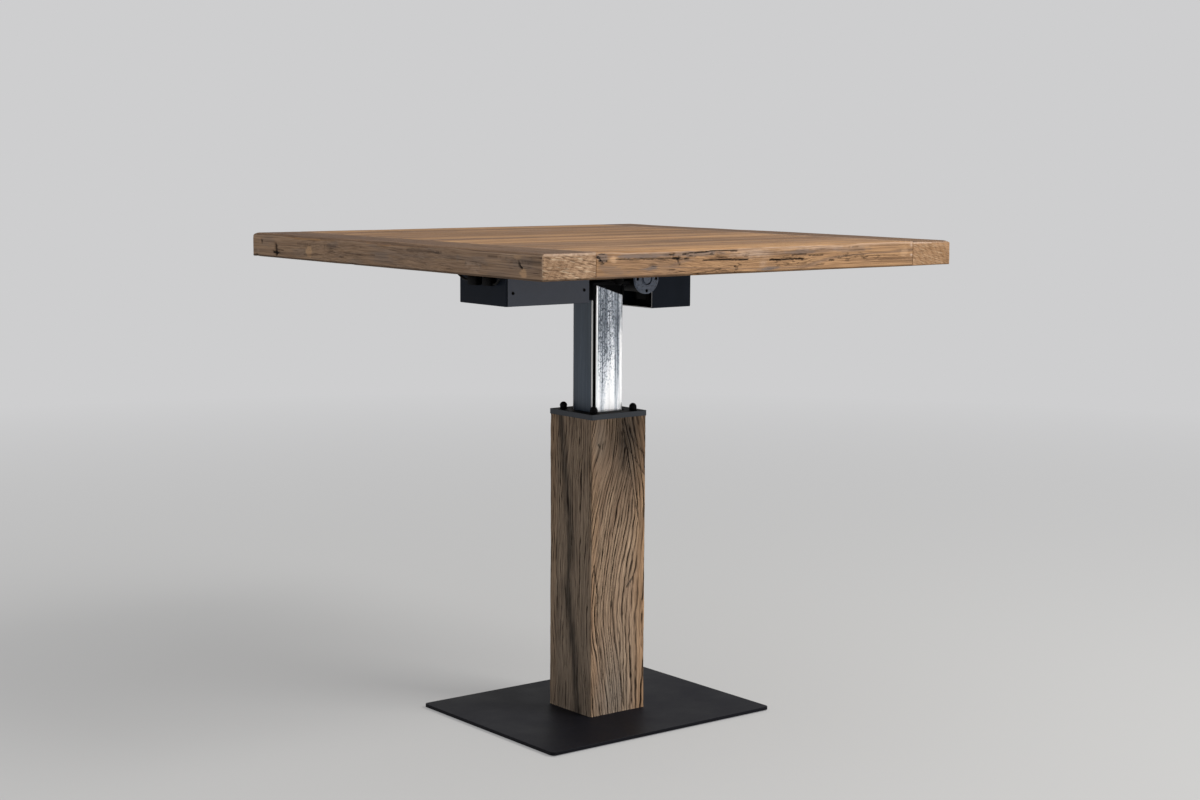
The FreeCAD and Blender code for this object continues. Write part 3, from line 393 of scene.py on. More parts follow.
# Relief as scale, detail, roughness and depth; clouds as scale, detail and roughness; the paler shade as a factor
# and what is added; and how far the gloss strays below and above.
surfaces = {
    "paint": {"relief": (900, 2, 0.5, 0.00004), "clouds": (14, 5, 0.6), "paler": (1.5, 0.004), "strays": (0.05, 0.07),
              "stops": (0.30, 0.72)},
    "casting": {"relief": (700, 4, 0.7, 0.00016), "clouds": (22, 4, 0.5), "paler": (1.5, 0.004),
                "strays": (0.05, 0.08), "stops": (0.3, 0.7)},
    "plastic": {"relief": (1300, 2, 0.5, 0.00006), "clouds": (18, 3, 0.5), "paler": (1.25, 0.002),
                "strays": (0.04, 0.06), "stops": (0.3, 0.7)},
}


# Baked paint, sand casting or spark-eroded plastic: a fine relief and faint clouds in one shade.
def plainFinish(surface, name, shade, roughness, specular=0.4):
    f = Finish(name, specular=specular)
    kind = surfaces[surface]
    size, detail, rough, depth = kind["relief"]
    relief = f.noise((size, size, size), detail=detail, rough=rough)
    size, detail, rough = kind["clouds"]
    clouds = f.noise((size, size, size), detail=detail, rough=rough)
    factor, added = kind["paler"]
    shades = (tint(*shade), tuple(v * factor + added for v in tint(*shade)))
    below, above = kind["strays"]
    return f.wire(colour=f.ramp(clouds, list(zip(kind["stops"], shades))), normal=f.bump(relief, depth),
                  roughness=f.levels(clouds, 0.3, 0.7, roughness - below, roughness + above))


def turnedSteelFinish(name="turnedSteel", shade=(166, 168, 172), roughness=0.3, metallic=1.0):
    f = Finish(name, metallic=metallic)
    marks, clouds = f.noise((60, 60, 900), 3), f.noise((40, 40, 40))
    colour = f.ramp(clouds, [(0.3, tint(*(v - 26 for v in shade))), (0.7, tint(*shade))])
    return f.wire(colour=colour, normal=f.bump(marks, 0.00004),
                  roughness=f.levels(clouds, 0.3, 0.7, roughness - 0.06, roughness + 0.1))


# Cast cover with dark pits.
def dottedCastFinish():
    f = Finish("coverGrey", specular=0.3)
    pits = f.levels(f.cells((330, 330, 330)), 0.16, 0.40, 1.0, 0.0)
    clouds = f.noise((40, 40, 40))
    colour = f.ramp(clouds, [(0.3, tint(86, 95, 112)), (0.7, tint(120, 130, 148))])
    colour = f.mix(f.times(pits, 0.75), colour, tint(34, 38, 46))
    return f.wire(colour=colour, normal=f.bump(f.minus(1.0, pits), 0.0003),
                  roughness=f.levels(clouds, 0.3, 0.7, 0.38, 0.5))


# Stacked iron sheets: thin lines along the stack.
def laminationFinish():
    f = Finish("laminations", metallic=0.3, specular=0.15)
    sheets, rust = f.wave((0, 560, 0), "Y"), f.noise((60, 60, 60), 5)
    colour = f.ramp(rust, [(0.35, tint(10, 10, 12)), (0.7, tint(26, 25, 25))])
    colour = f.mix(f.levels(sheets, 0.0, 0.3, 0.6, 0.0), colour, tint(18, 18, 20))
    return f.wire(colour=colour, normal=f.bump(sheets, 0.0002), roughness=f.levels(rust, 0.3, 0.7, 0.4, 0.6))


# Taped winding: overlapping turns of tape.
def coilFinish():
    f = Finish("coilTape", specular=0.1)
    turns, clouds = f.wave((0, 0, 150), "Z", distortion=0.4, detail=1), f.noise((60, 60, 60))
    colour = f.ramp(clouds, [(0.3, tint(20, 19, 20)), (0.7, tint(38, 36, 36))])
    colour = f.mix(f.levels(turns, 0.0, 0.25, 0.5, 0.0), colour, tint(8, 8, 8))
    return f.wire(colour=colour, normal=f.bump(turns, 0.0005), roughness=f.levels(clouds, 0.3, 0.7, 0.3, 0.5))


# Circuit board lacquer with tracks under it.
def boardFinish():
    f = Finish("circuitBoard")
    tracks = f.ridge(f.cells((140, 140, 140), feature="DISTANCE_TO_EDGE"), 0.46)
    colour = f.mix(tracks, tint(20, 84, 48), tint(48, 120, 70))
    return f.wire(colour=colour, normal=f.bump(tracks, 0.00008))


def brassFinish(name, shade):
    f = Finish(name, metallic=1.0)
    marks = f.noise((300, 300, 300), 3)
    colour = f.ramp(marks, [(0.3, tint(*(v - 30 for v in shade))), (0.7, tint(*shade))])
    return f.wire(colour=colour, normal=f.bump(marks, 0.00003), roughness=f.levels(marks, 0.3, 0.7, 0.22, 0.38))


finishes = {
    "top_oak": oakTopFinish(), "post_oak": postOakFinish(), "tongue_wood": plainWoodFinish(),
    "blackened_steel": blackenedSteelFinish(),
    "black_steel": plainFinish("paint", "blackSteel", (7, 7, 9), 0.55, 0.07),
    "tube_paint": tubePaintFinish(), "galvanised": zincFinish(), "bright_steel": turnedSteelFinish(),
    "bronze": brassFinish("bronze", (186, 142, 78)), "contact_brass": brassFinish("contactBrass", (214, 184, 112)),
    "glide_plastic": plainFinish("plastic", "glidePlastic", (206, 202, 190), 0.5),
    "cast_housing": plainFinish("casting", "castHousing", (4, 4, 5), 0.55, 0.06),
    "cover_grey": dottedCastFinish(),
    # The blue in the dark unit paints is partly a painted reflection.
    "unit_case": plainFinish("paint", "unitCase", (24, 31, 42), 0.5, 0.08),
    "unit_cover": plainFinish("paint", "unitCover", (64, 70, 83), 0.45),
    "black_plastic": plainFinish("plastic", "blackPlastic", (4, 4, 5), 0.5, 0.05),
    "key_plastic": plainFinish("plastic", "keyPlastic", (118, 120, 122), 0.5),
    "lead_rubber": plainFinish("plastic", "leadRubber", (10, 10, 11), 0.55, 0.15),
    "foot_rubber": plainFinish("plastic", "footRubber", (28, 28, 28), 0.8),
    "board": boardFinish(), "core_steel": laminationFinish(), "coil_tape": coilFinish(),
}
endGrain = {
    "border_plank_left": endGrainFinish("endGrainLeft", (-0.30, 0.78), 8, 0.74, ((142, 112, 86), (184, 151, 121))),
    "border_plank_right": endGrainFinish("endGrainRight", (0.30, 0.80), 14, 0.34, ((146, 112, 80), (170, 134, 102))),
}
rawSteel = turnedSteelFinish("rawSteel", (255, 255, 255), 0.6, 0.0)
bluedSteel = plainFinish("paint", "bluedSteel", (5, 6, 7), 0.5, 0.05)
# Near-black copy of the tube paint for its front face: painted shade beside the rail.
tubePaintedShade = plainFinish("paint", "tubePaintedShade", (6, 7, 9), 0.6, 0.04)
capSide = plainFinish("paint", "capSide", (52, 56, 62), 0.5, 0.3)
# Near-black copy for faces and screw holes that lie in shade: painted shade.
paintedShadeBlack = plainFinish("paint", "paintedShadeBlack", (4, 4, 5), 0.6, 0.04)
arrowPaint = plainFinish("plastic", "arrowPaint", (222, 222, 218), 0.45)
print("finishes ready:", len(finishes))


# A bmesh as the smooth-shaded piece that stands for a CAD node and rides its body.
def addPiece(node, bm, crease=35, materials=None):
    mesh = bpy.data.meshes.new(node)
    bm.to_mesh(mesh)
    bm.free()
    mesh.polygons.foreach_set("use_smooth", [True] * len(mesh.polygons))
    mesh.set_sharp_from_angle(angle=math.radians(crease))
    piece = bpy.data.objects.new(node + "_piece", mesh)
    bpy.context.scene.collection.objects.link(piece)
    for material in materials or [finishes[slotOf[node]]]:
        mesh.materials.append(material)
    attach(piece, bodyOf[node])
    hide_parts(node)
    return piece


# Metres, then degrees.
cleaning = {"merge": 1e-6, "flat": 0.3, "sharp": 50}


def mergedCopy(node):
    bm = bmesh.new()
    bm.from_mesh(nodes[node].data)
    bmesh.ops.remove_doubles(bm, verts=bm.verts, dist=cleaning["merge"])
    return bm


# The same with every flat face whole.
def flatCopy(node):
    bm = mergedCopy(node)
    bmesh.ops.dissolve_limit(bm, angle_limit=math.radians(cleaning["flat"]), verts=bm.verts, edges=bm.edges)
    return bm


def bevelEdges(bm, edges, offset, clamp=False):
    bmesh.ops.bevel(bm, geom=edges, offset=offset, offset_type="OFFSET", affect="EDGES", segments=2, profile=0.5,
                    material=-1, clamp_overlap=clamp)


# Smooth-shaded copy of a CAD node, its sharp edges eased.
def dressNode(node, edge=0.0, crease=35, materials=None, paint=None):
    bm = flatCopy(node)
    if edge:
        limit = math.radians(cleaning["sharp"])
        sharp = [e for e in bm.edges if len(e.link_faces) == 2 and e.calc_face_angle() > limit]
        bevelEdges(bm, sharp, edge, True)
    if paint:
        for face in bm.faces:
            face.material_index = paint(face)
    even = addPiece(node, bm, crease, materials).modifiers.new("evenNormals", "WEIGHTED_NORMAL")
    even.keep_sharp, even.weight = True, 100


def middleOf(low, high):
    return (low + high) / 2


# Lowest and highest corner of each solid of a CAD node.
def islandBoxes(node):
    bm = mergedCopy(node)
    boxes, left = [], set(bm.verts)
    while left:
        reached, edge = set(), {left.pop()}
        while edge:
            reached |= edge
            edge = {e.other_vert(v) for v in edge for e in v.link_edges} - reached
        left -= reached
        low = Vector(min(v.co[k] for v in reached) for k in range(3))
        high = Vector(max(v.co[k] for v in reached) for k in range(3))
        boxes.append((low, high))
    bm.free()
    return sorted(boxes, key=lambda box: tuple(box[0]))


# Turned form about Z from (radius, height) points, then moved by a matrix.
def turned(profile, steps, turn=Matrix.Identity(4)):
    bm = bmesh.new()
    ring = [bm.verts.new((radius, 0, height)) for radius, height in profile]
    edges = [bm.edges.new(pair) for pair in zip(ring, ring[1:])]
    bmesh.ops.spin(bm, geom=ring + edges, cent=(0, 0, 0), axis=(0, 0, 1), dvec=(0, 0, 0), angle=math.tau,
                   steps=steps, use_merge=True, use_duplicate=False)
    bmesh.ops.remove_doubles(bm, verts=bm.verts, dist=cleaning["merge"])
    bmesh.ops.recalc_face_normals(bm, faces=bm.faces)
    bmesh.ops.transform(bm, matrix=turn, verts=bm.verts)
    return bm


# Several bmeshes as one.
def joined(parts):
    whole = bmesh.new()
    for part in parts:
        holder = bpy.data.meshes.new("holder")
        part.to_mesh(holder)
        part.free()
        whole.from_mesh(holder)
        bpy.data.meshes.remove(holder)
    return whole


# Matrix that stands a form made along +Z on a place, pointing along a direction.
def facing(direction, place):
    return Matrix.Translation(place) @ Vector(direction).to_track_quat("Z", "Y").to_matrix().to_4x4()


recess = {"reach": 0.55, "width": 0.22, "depth": 0.62, "taper": 0.45, "above": 0.0004}


# Tapered cross that cuts the recess of a screw head, by the head's radius and height.
def crossCutter(radius, height):
    reach, half = radius * recess["reach"], radius * recess["width"] / 2
    bm = bmesh.new()
    bmesh.ops.create_grid(bm, x_segments=3, y_segments=3, size=0.5)
    corners = [f for f in bm.faces if min(abs(f.calc_center_median().x), abs(f.calc_center_median().y)) > 0.2]
    bmesh.ops.delete(bm, geom=corners, context="FACES")
    for v in bm.verts:
        for k in (0, 1):
            v.co[k] = math.copysign(half if abs(v.co[k]) < 0.3 else reach, v.co[k])
    made = bmesh.ops.extrude_face_region(bm, geom=list(bm.faces))
    lower = [item for item in made["geom"] if isinstance(item, bmesh.types.BMVert)]
    for v in lower:
        v.co = v.co.x * recess["taper"], v.co.y * recess["taper"], v.co.z - height * recess["depth"]
    bmesh.ops.translate(bm, verts=bm.verts, vec=(0, 0, height + recess["above"]))
    bmesh.ops.recalc_face_normals(bm, faces=bm.faces)
    return bm


# Difference of two closed forms, as a new mesh.
def cutMesh(bm, cutter):
    solid, tool = bpy.data.meshes.new("solid"), bpy.data.meshes.new("tool")
    bm.to_mesh(solid)
    bm.free()
    cutter.to_mesh(tool)
    cutter.free()
    body, knife = bpy.data.objects.new("solid", solid), bpy.data.objects.new("knife", tool)
    for item in (body, knife):
        bpy.context.scene.collection.objects.link(item)
    boolean = body.modifiers.new("cut", "BOOLEAN")
    boolean.operation, boolean.object, boolean.solver = "DIFFERENCE", knife, "EXACT"
    view = bpy.context.evaluated_depsgraph_get()
    made = bpy.data.meshes.new_from_object(body.evaluated_get(view))
    for item in (body, knife):
        bpy.data.objects.remove(item)
    return made


# Pan head with a cross recess, its seat at z 0.
def crossHead(radius, height):
    head = turned([(0, 0), (radius, 0), (radius, height * 0.45), (radius * 0.9, height * 0.78),
                   (radius * 0.62, height * 0.96), (0, height)], 20)
    return cutMesh(head, crossCutter(radius, height))


def placed(mesh, turn):
    bm = bmesh.new()
    bm.from_mesh(mesh)
    bmesh.ops.transform(bm, matrix=turn, verts=bm.verts)
    return bm


tabletop = {
    "tones": (0.0, 0.16, 0.04, 0.26, 0.08, 0.20),
    "cell": (0.0026, 0.0030, 0.00125), "innerUp": 0.006,      # along a plank, across it and up
    "outerTop": 0.0055, "outerUnder": 0.0028, "corner": 0.0065, "joint": 0.0011,
    "worn": {("border_plank_left", (0, 0)): 0.0135, ("border_plank_right", (0, 1)): 0.011,
             ("border_plank_right", (1, 0)): 0.009},
    "firstLoops": (0.0, 0.18, 0.42, 0.70, 1.0, 1.5), "skin": 0.004,
    "bend": (0.010, 0.004), "wear": 0.55, "frontWear": 0.9, "underShade": 0.55,
    "hollows": (0.30, 0.28, 0.13), "shallowest": 0.05,        # millimetres: at rest, slow sway and ripple
}
# The sides and upright edges of a box: (axis, side), and pairs of them.
sides = [(axis, side) for axis in (0, 1) for side in (0, 1)]
uprights = [((0, sideX), (1, sideY)) for sideX in (0, 1) for sideY in (0, 1)]


def clamped(value):
    return min(1.0, max(0.0, value))


def noiseAt(x, y, z):
    return noise.noise(Vector((x, y, z)))


# Grid lines from low to high, closer together where an edge is eased.
def steps(low, high, cell, easeLow, easeHigh):
    lines = [low + easeLow * share for share in tabletop["firstLoops"]]
    tail = [high - easeHigh * share for share in reversed(tabletop["firstLoops"])]
    span = tail[0] - lines[-1]
    count = max(1, round(span / cell))
    return lines + [lines[-1] + span * k / count for k in range(1, count)] + tail


# Closed box whose faces are grids along three lists of lines.
def gridBox(lines):
    bm = bmesh.new()
    counts = [len(row) - 1 for row in lines]
    for axis in range(3):
        first, second = (axis + 1) % 3, (axis + 2) % 3
        frameAxes = [Vector((0, 0, 0)) for k in range(3)]
        for column, along in zip(frameAxes, (first, second, axis)):
            column[along] = 1
        for side in (0, 1):
            turn = Matrix(frameAxes).transposed().to_4x4()
            place = Vector((0.5, 0.5, 0.5))
            place[axis] = side
            made = bmesh.ops.create_grid(bm, x_segments=counts[first], y_segments=counts[second], size=0.5,
                                         matrix=Matrix.Translation(place) @ turn)
            if side == 0:
                faces = list({face for v in made["verts"] for face in v.link_faces})
                bmesh.ops.reverse_faces(bm, faces=faces)
    bmesh.ops.remove_doubles(bm, verts=bm.verts, dist=1e-5)
    for v in bm.verts:
        v.co = Vector(lines[k][round(v.co[k] * counts[k])] for k in range(3))
    return bm


# Rounds a point of a box into its eased edges. radii: edge as ((axis, side), (axis, side)) to radius.
def easeEdges(point, low, high, radii):
    moved = point.copy()
    for ((a, sideA), (b, sideB)), radius in radii.items():
        offA = high[a] - moved[a] if sideA else moved[a] - low[a]
        offB = high[b] - moved[b] if sideB else moved[b] - low[b]
        if offA < radius and offB < radius:
            reach = Vector((radius - offA, radius - offB))
            if reach.length > radius * 0.999:
                reach = reach.normalized() * radius
                moved[a] = high[a] - radius + reach.x if sideA else low[a] + radius - reach.x
                moved[b] = high[b] - radius + reach.y if sideB else low[b] + radius - reach.y
    return moved


# 0 to 1: how near a point of a face is to a crack's ragged line, full at its middle.
def strokeAt(p, line, width):
    best = 0.0
    ragged = Vector((p.x, p.y + 0.9 * noiseAt(p.x * 0.33, width, 1.0)))
    for start, end in zip(line, line[1:]):
        start, end = Vector(start), Vector(end)
        along = end - start
        share = clamped((ragged - start).dot(along) / along.length_squared)
        best = max(best, 1 - (ragged - start - along * share).length / width)
    return best


# 0 to 1 inside a soft oval patch, with a ragged rim.
def patchAt(p, x, z, wide, tall, amount, rim):
    off = Vector(((p.x - x) / wide, (p.y - z) / tall))
    ragged = 0.45 * noiseAt(p.x * 0.11, p.y * 0.35, 3.7)
    return clamped((1 - off.length + ragged) * rim) * amount


# In millimetres, along the face and up. Cracks: line, width, depth, darkness. Patches: middle, half size, amount and
# sharpness of the rim. Notches: middle, half size, depth.
frontMarks = {
    "cracks": [
        ([(-312, 862.2), (-254, 861.4), (-199, 860.6)], 1.4, 1.2, 0.75),
        ([(-196, 861), (-184, 860.2)], 2.3, 3.5, 1.0), ([(-186, 860.5), (-184, 849.5)], 1.5, 2.5, 0.9),
        ([(-172, 859.4), (-166, 859.4)], 1.9, 2.5, 0.85), ([(-204, 867), (-192, 868.2)], 1.8, 2.0, 0.9),
        ([(-176, 866.6), (-162, 868.2), (-131, 869.8), (-112, 872), (-98, 872.6), (-80, 871), (-62, 870)],
         1.7, 2.8, 0.9),
        ([(-135, 856.2), (-103, 855.6)], 1.3, 1.5, 0.85),
        ([(-103, 855.4), (-86, 856.2), (-66, 855.2), (-37, 854.4)], 1.5, 2.6, 1.0),
        ([(12, 852.6), (33, 852)], 1.8, 3.2, 1.0), ([(33, 852.2), (56, 852.6), (85, 852.2)], 1.6, 2.2, 0.95),
        ([(77, 852.6), (86, 851.6)], 2.1, 3.0, 1.0), ([(98, 857.4), (131, 856.8)], 1.3, 1.4, 0.75),
        ([(234, 852.6), (270, 853.6), (311, 851.6)], 1.1, 1.0, 0.5), ([(226, 850.4), (238, 851.8)], 1.2, 1.2, 0.7),
        ([(147, 848), (156, 847.6)], 1.7, 2.0, 0.9), ([(60, 858.6), (92, 860)], 1.3, 1.4, 0.7),
        ([(186, 868.4), (214, 869)], 1.1, 1.0, 0.5), ([(166, 851), (200, 855), (228, 855)], 1.1, 0.9, 0.6),
        ([(-152, 834.6), (-118, 838), (-96, 841)], 1.1, 0.9, 0.6), ([(-66, 844.4), (-64, 844)], 1.8, 2.0, 0.9),
        ([(116, 841), (134, 842)], 1.0, 1.0, 0.6), ([(262, 845), (330, 846)], 1.0, 0.7, 0.4),
    ],
    "grey": [
        (-250, 866.8, 72, 5, 0.95, 3.0), (-150, 867.6, 60, 6, 0.8, 3.0), (-247, 845.6, 18, 2.4, 1.0, 3.0),
        (-236, 848.6, 9, 1.8, 0.9, 3.0), (10, 838.6, 26, 3.6, 0.95, 3.0), (-337, 866, 13, 8, 0.8, 3.0),
        (-330, 849, 26, 7, 0.45, 3.0), (80, 864, 36, 4, 0.6, 3.0), (196, 865, 46, 5, 0.5, 3.0),
        (-310, 842, 30, 4, 0.4, 3.0),
    ],
    "pale": [
        (-26, 864, 66, 11, 0.55, 1.4), (-240, 873, 100, 3, 0.6, 1.6), (126, 871, 130, 5, 0.5, 1.6),
        (-4, 846, 14, 14, 0.3, 1.4), (344, 869, 3.4, 4, 1.0, 4.0), (344, 852, 3, 3.4, 1.0, 4.0),
    ],
    "plug": [(-316, 863, 9, 6, 0.6, 3.0), (327, 857, 10, 9, 0.35, 3.0)],
    "speckle": [
        (-338, 865, 12, 10, 1.0, 3.0), (-52, 862, 22, 9, 0.35, 3.0), (-58, 845, 20, 7, 0.8, 3.0),
        (-186, 862, 30, 6, 0.5, 3.0), (60, 848, 60, 9, 0.45, 3.0), (210, 852, 70, 8, 0.4, 3.0),
        (-150, 866, 50, 5, 0.6, 3.0),
    ],
    "notches": [(-149, 832, 7, 4, 5.0), (-66, 833, 4, 2.5, 2.0), (-128, 832, 16, 1.6, 1.5)],
    "plainest": (0.03, 0.0),        # pale and grey at least
}
leftMarks = {
    "cracks": [
        ([(368, 857), (368, 850), (367, 840)], 4.6, 4.5, 1.0), ([(358, 842), (377, 843)], 2.6, 2.0, 0.95),
        ([(364, 848), (340, 847)], 1.3, 1.0, 0.6), ([(424, 864), (418, 861)], 1.9, 2.2, 0.95),
        ([(-377, 859.5), (-385, 855), (-391, 851)], 2.3, 3.4, 1.0),
        ([(132, 852), (72, 850), (32, 852)], 1.2, 0.9, 0.5), ([(292, 862), (212, 863), (142, 860)], 1.2, 0.9, 0.45),
        ([(-67, 866), (-157, 865), (-207, 863)], 1.3, 1.0, 0.45),
        ([(-300, 866), (-360, 863), (-440, 861)], 1.2, 0.9, 0.5),
    ],
    "grey": [
        (10, 850, 50, 18, 0.85, 1.4), (-392, 858, 66, 15, 0.8, 1.4), (-218, 860, 7, 7, 0.9, 3.0),
        (-270, 856, 40, 10, 0.7, 3.0), (170, 866, 26, 7, 0.7, 3.0), (280, 846, 40, 9, 0.6, 3.0),
        (-108, 858, 60, 9, 0.55, 1.4), (400, 862, 34, 12, 0.6, 3.0), (90, 838, 30, 6, 0.6, 3.0),
        (-330, 838, 40, 5, 0.5, 3.0),
    ],
    "pale": [
        (-262, 846, 30, 11, 0.7, 1.6), (434, 843, 7, 3.5, 0.7, 3.0), (-244, 847, 8, 3, 0.7, 3.0),
        (-352, 870, 30, 3.5, 0.6, 3.0), (-300, 843, 16, 5, 0.4, 3.0),
    ],
    "plug": [(250, 848, 11, 11, 0.95, 8.0), (-396, 842, 12, 9, 0.9, 3.0), (-380, 868, 14, 4, 0.5, 3.0)],
    "speckle": [(-270, 850, 36, 12, 0.25, 3.0), (-380, 858, 50, 12, 0.25, 3.0), (360, 848, 26, 12, 0.3, 3.0)],
    "notches": [(440, 833, 7, 5, 3.0), (112, 833, 14, 2.2, 1.2)],
    "plainest": (0.38, 0.24),
}


# Depth and the colour weights of the marks at a point of a face.
def marksAt(face, marks):
    depth, crack = 0.0, 0.0
    for line, width, deep, dark in marks["cracks"]:
        if min(x for x, z in line) - 5 < face.x < max(x for x, z in line) + 5:
            near = strokeAt(face, line, width)
            depth = max(depth, deep * near)
            crack = max(crack, dark * min(1.0, near * 2.2))
    for x, z, wide, tall, deep in marks["notches"]:
        off = Vector(((face.x - x) / wide, (face.y - z) / tall)).length
        if off < 1:
            depth = max(depth, deep * (1 - off ** 2))
            crack = max(crack, 0.9 * (1 - off ** 3))
    weights = {"crack": crack}
    for kind in ("grey", "pale", "plug", "speckle"):
        near = [patch for patch in marks[kind] if abs(face.x - patch[0]) < 2.2 * patch[2]]
        weights[kind] = max([0.0] + [patchAt(face, *patch) for patch in near])
    return depth, weights


# Radius of each edge of a plank, by its two sides: worn outside, sharp at the joints.
def boardEdges(node, outer):
    radii = {}
    for edge in sides:
        worn = tabletop["worn"].get((node, edge), tabletop["outerTop"])
        radii[edge, (2, 1)] = worn if edge in outer else tabletop["joint"]
        radii[edge, (2, 0)] = tabletop["outerUnder" if edge in outer else "joint"]
    for pair in uprights:
        radii[pair] = tabletop["corner" if pair[0] in outer and pair[1] in outer else "joint"]
    return radii


# One plank: eased and worn edges, soft hollows, cracks, and the grain's own coordinates.
def makeBoard(node, seed, grainAxis, outer, marks=None):
    low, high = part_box(node)
    across = 1 - grainAxis
    cells = [0.0, 0.0, tabletop["cell"][2] if outer else tabletop["innerUp"]]
    cells[grainAxis], cells[across] = tabletop["cell"][:2]
    ease, skin, (longBend, shortBend) = boardEdges(node, outer), tabletop["skin"], tabletop["bend"]
    rest, slow, ripple = tabletop["hollows"]
    widest = [[max(r for edge, r in ease.items() if (axis, side) in edge) for side in (0, 1)] for axis in range(3)]
    bm = gridBox([steps(low[k], high[k], cells[k], *widest[k]) for k in range(3)])
    grainLayer = bm.verts.layers.float_vector.new("grain")
    layers = {kind: bm.verts.layers.float.new(kind) for kind in boardMasks}
    for v in bm.verts:
        p = v.co.copy()
        along, side = p[grainAxis], p[across]
        bend = longBend * math.sin(along * 5.1 + seed) + shortBend * math.sin(along * 13.0 + seed * 2.1)
        v[grainLayer] = Vector((along + seed * 3.1, side + bend, p.z + 0.5 * bend))
        wear = 1.0 + tabletop["wear"] * noiseAt(along * 9, side * 9, seed + p.z * 20)
        if marks is frontMarks:
            wear += tabletop["frontWear"] * clamped(min((along + 0.32) / 0.03, (-0.03 - along) / 0.05))
        radii = {edge: radius * (wear if radius > tabletop["joint"] else 1.0) for edge, radius in ease.items()}
        moved = easeEdges(p, low, high, radii)
        inner = Vector(min(max(moved[k], low[k] + skin), high[k] - skin) for k in range(3))
        out = (moved - inner).normalized()
        depth = rest + slow * noiseAt(along * 3.1, side * 16, p.z * 16 + seed * 5)
        depth += ripple * noiseAt(along * 14, side * 120, p.z * 150 + seed * 3)
        weights = dict.fromkeys(boardMasks, 0.0)
        outward = out[1] if marks is not leftMarks else out[0]
        if marks and outward < -0.3:
            markDepth, found = marksAt(Vector((along / millimetre, p.z / millimetre)), marks)
            depth += markDepth
            weights.update(found)
        # Paler up-facing arrises: worn wood, partly a painted highlight.
        if outer and 0.25 < out.z < 0.93:
            patchy = noiseAt(along * 22, side * 22, seed)
            if grainAxis == 1 and out.y < -0.2:
                patchy += 0.9 * noiseAt(side * 240, p.z * 120, seed)
            if node == "border_plank_right":
                patchy += 0.7
            weights["pale"] = max(weights["pale"], 0.45 + 0.5 * patchy)
        if marks and outward < -0.5:
            weights["pale"] = max(weights["pale"], marks["plainest"][0])
            weights["grey"] = max(weights["grey"], marks["plainest"][1])
        if marks and -0.95 < out.z < -0.25:        # painted shade under the worn lower edge
            weights["crack"] = max(weights["crack"], tabletop["underShade"])
        weights["tone"] = clamped(out.z * 1.4 - 0.4) if grainAxis == 1 else tabletop["tones"][seed - 1]
        weights["calm"] = 1.0 - min(1.0, abs(out.z) * 1.3)
        v.co = moved - out * max(tabletop["shallowest"], depth) * millimetre
        for kind in boardMasks:
            v[layers[kind]] = weights[kind]
    for face in bm.faces:
        face.material_index = int(grainAxis == 1 and abs(face.normal[1]) > 0.8)
    addPiece(node, bm, 50, [finishes["top_oak"]] + ([endGrain[node]] if grainAxis == 1 else []))


def makeTabletop():
    for number in range(1, 7):
        outer = {1: [(1, 0)], 6: [(1, 1)]}.get(number, [])
        makeBoard(f"plank_{number}", number, 0, outer, frontMarks if number == 1 else None)
    makeBoard("border_plank_left", 11, 1, [(0, 0), (1, 0), (1, 1)], leftMarks)
    makeBoard("border_plank_right", 14, 1, [(0, 1), (1, 0), (1, 1)])


makeTabletop()
print("tabletop made")


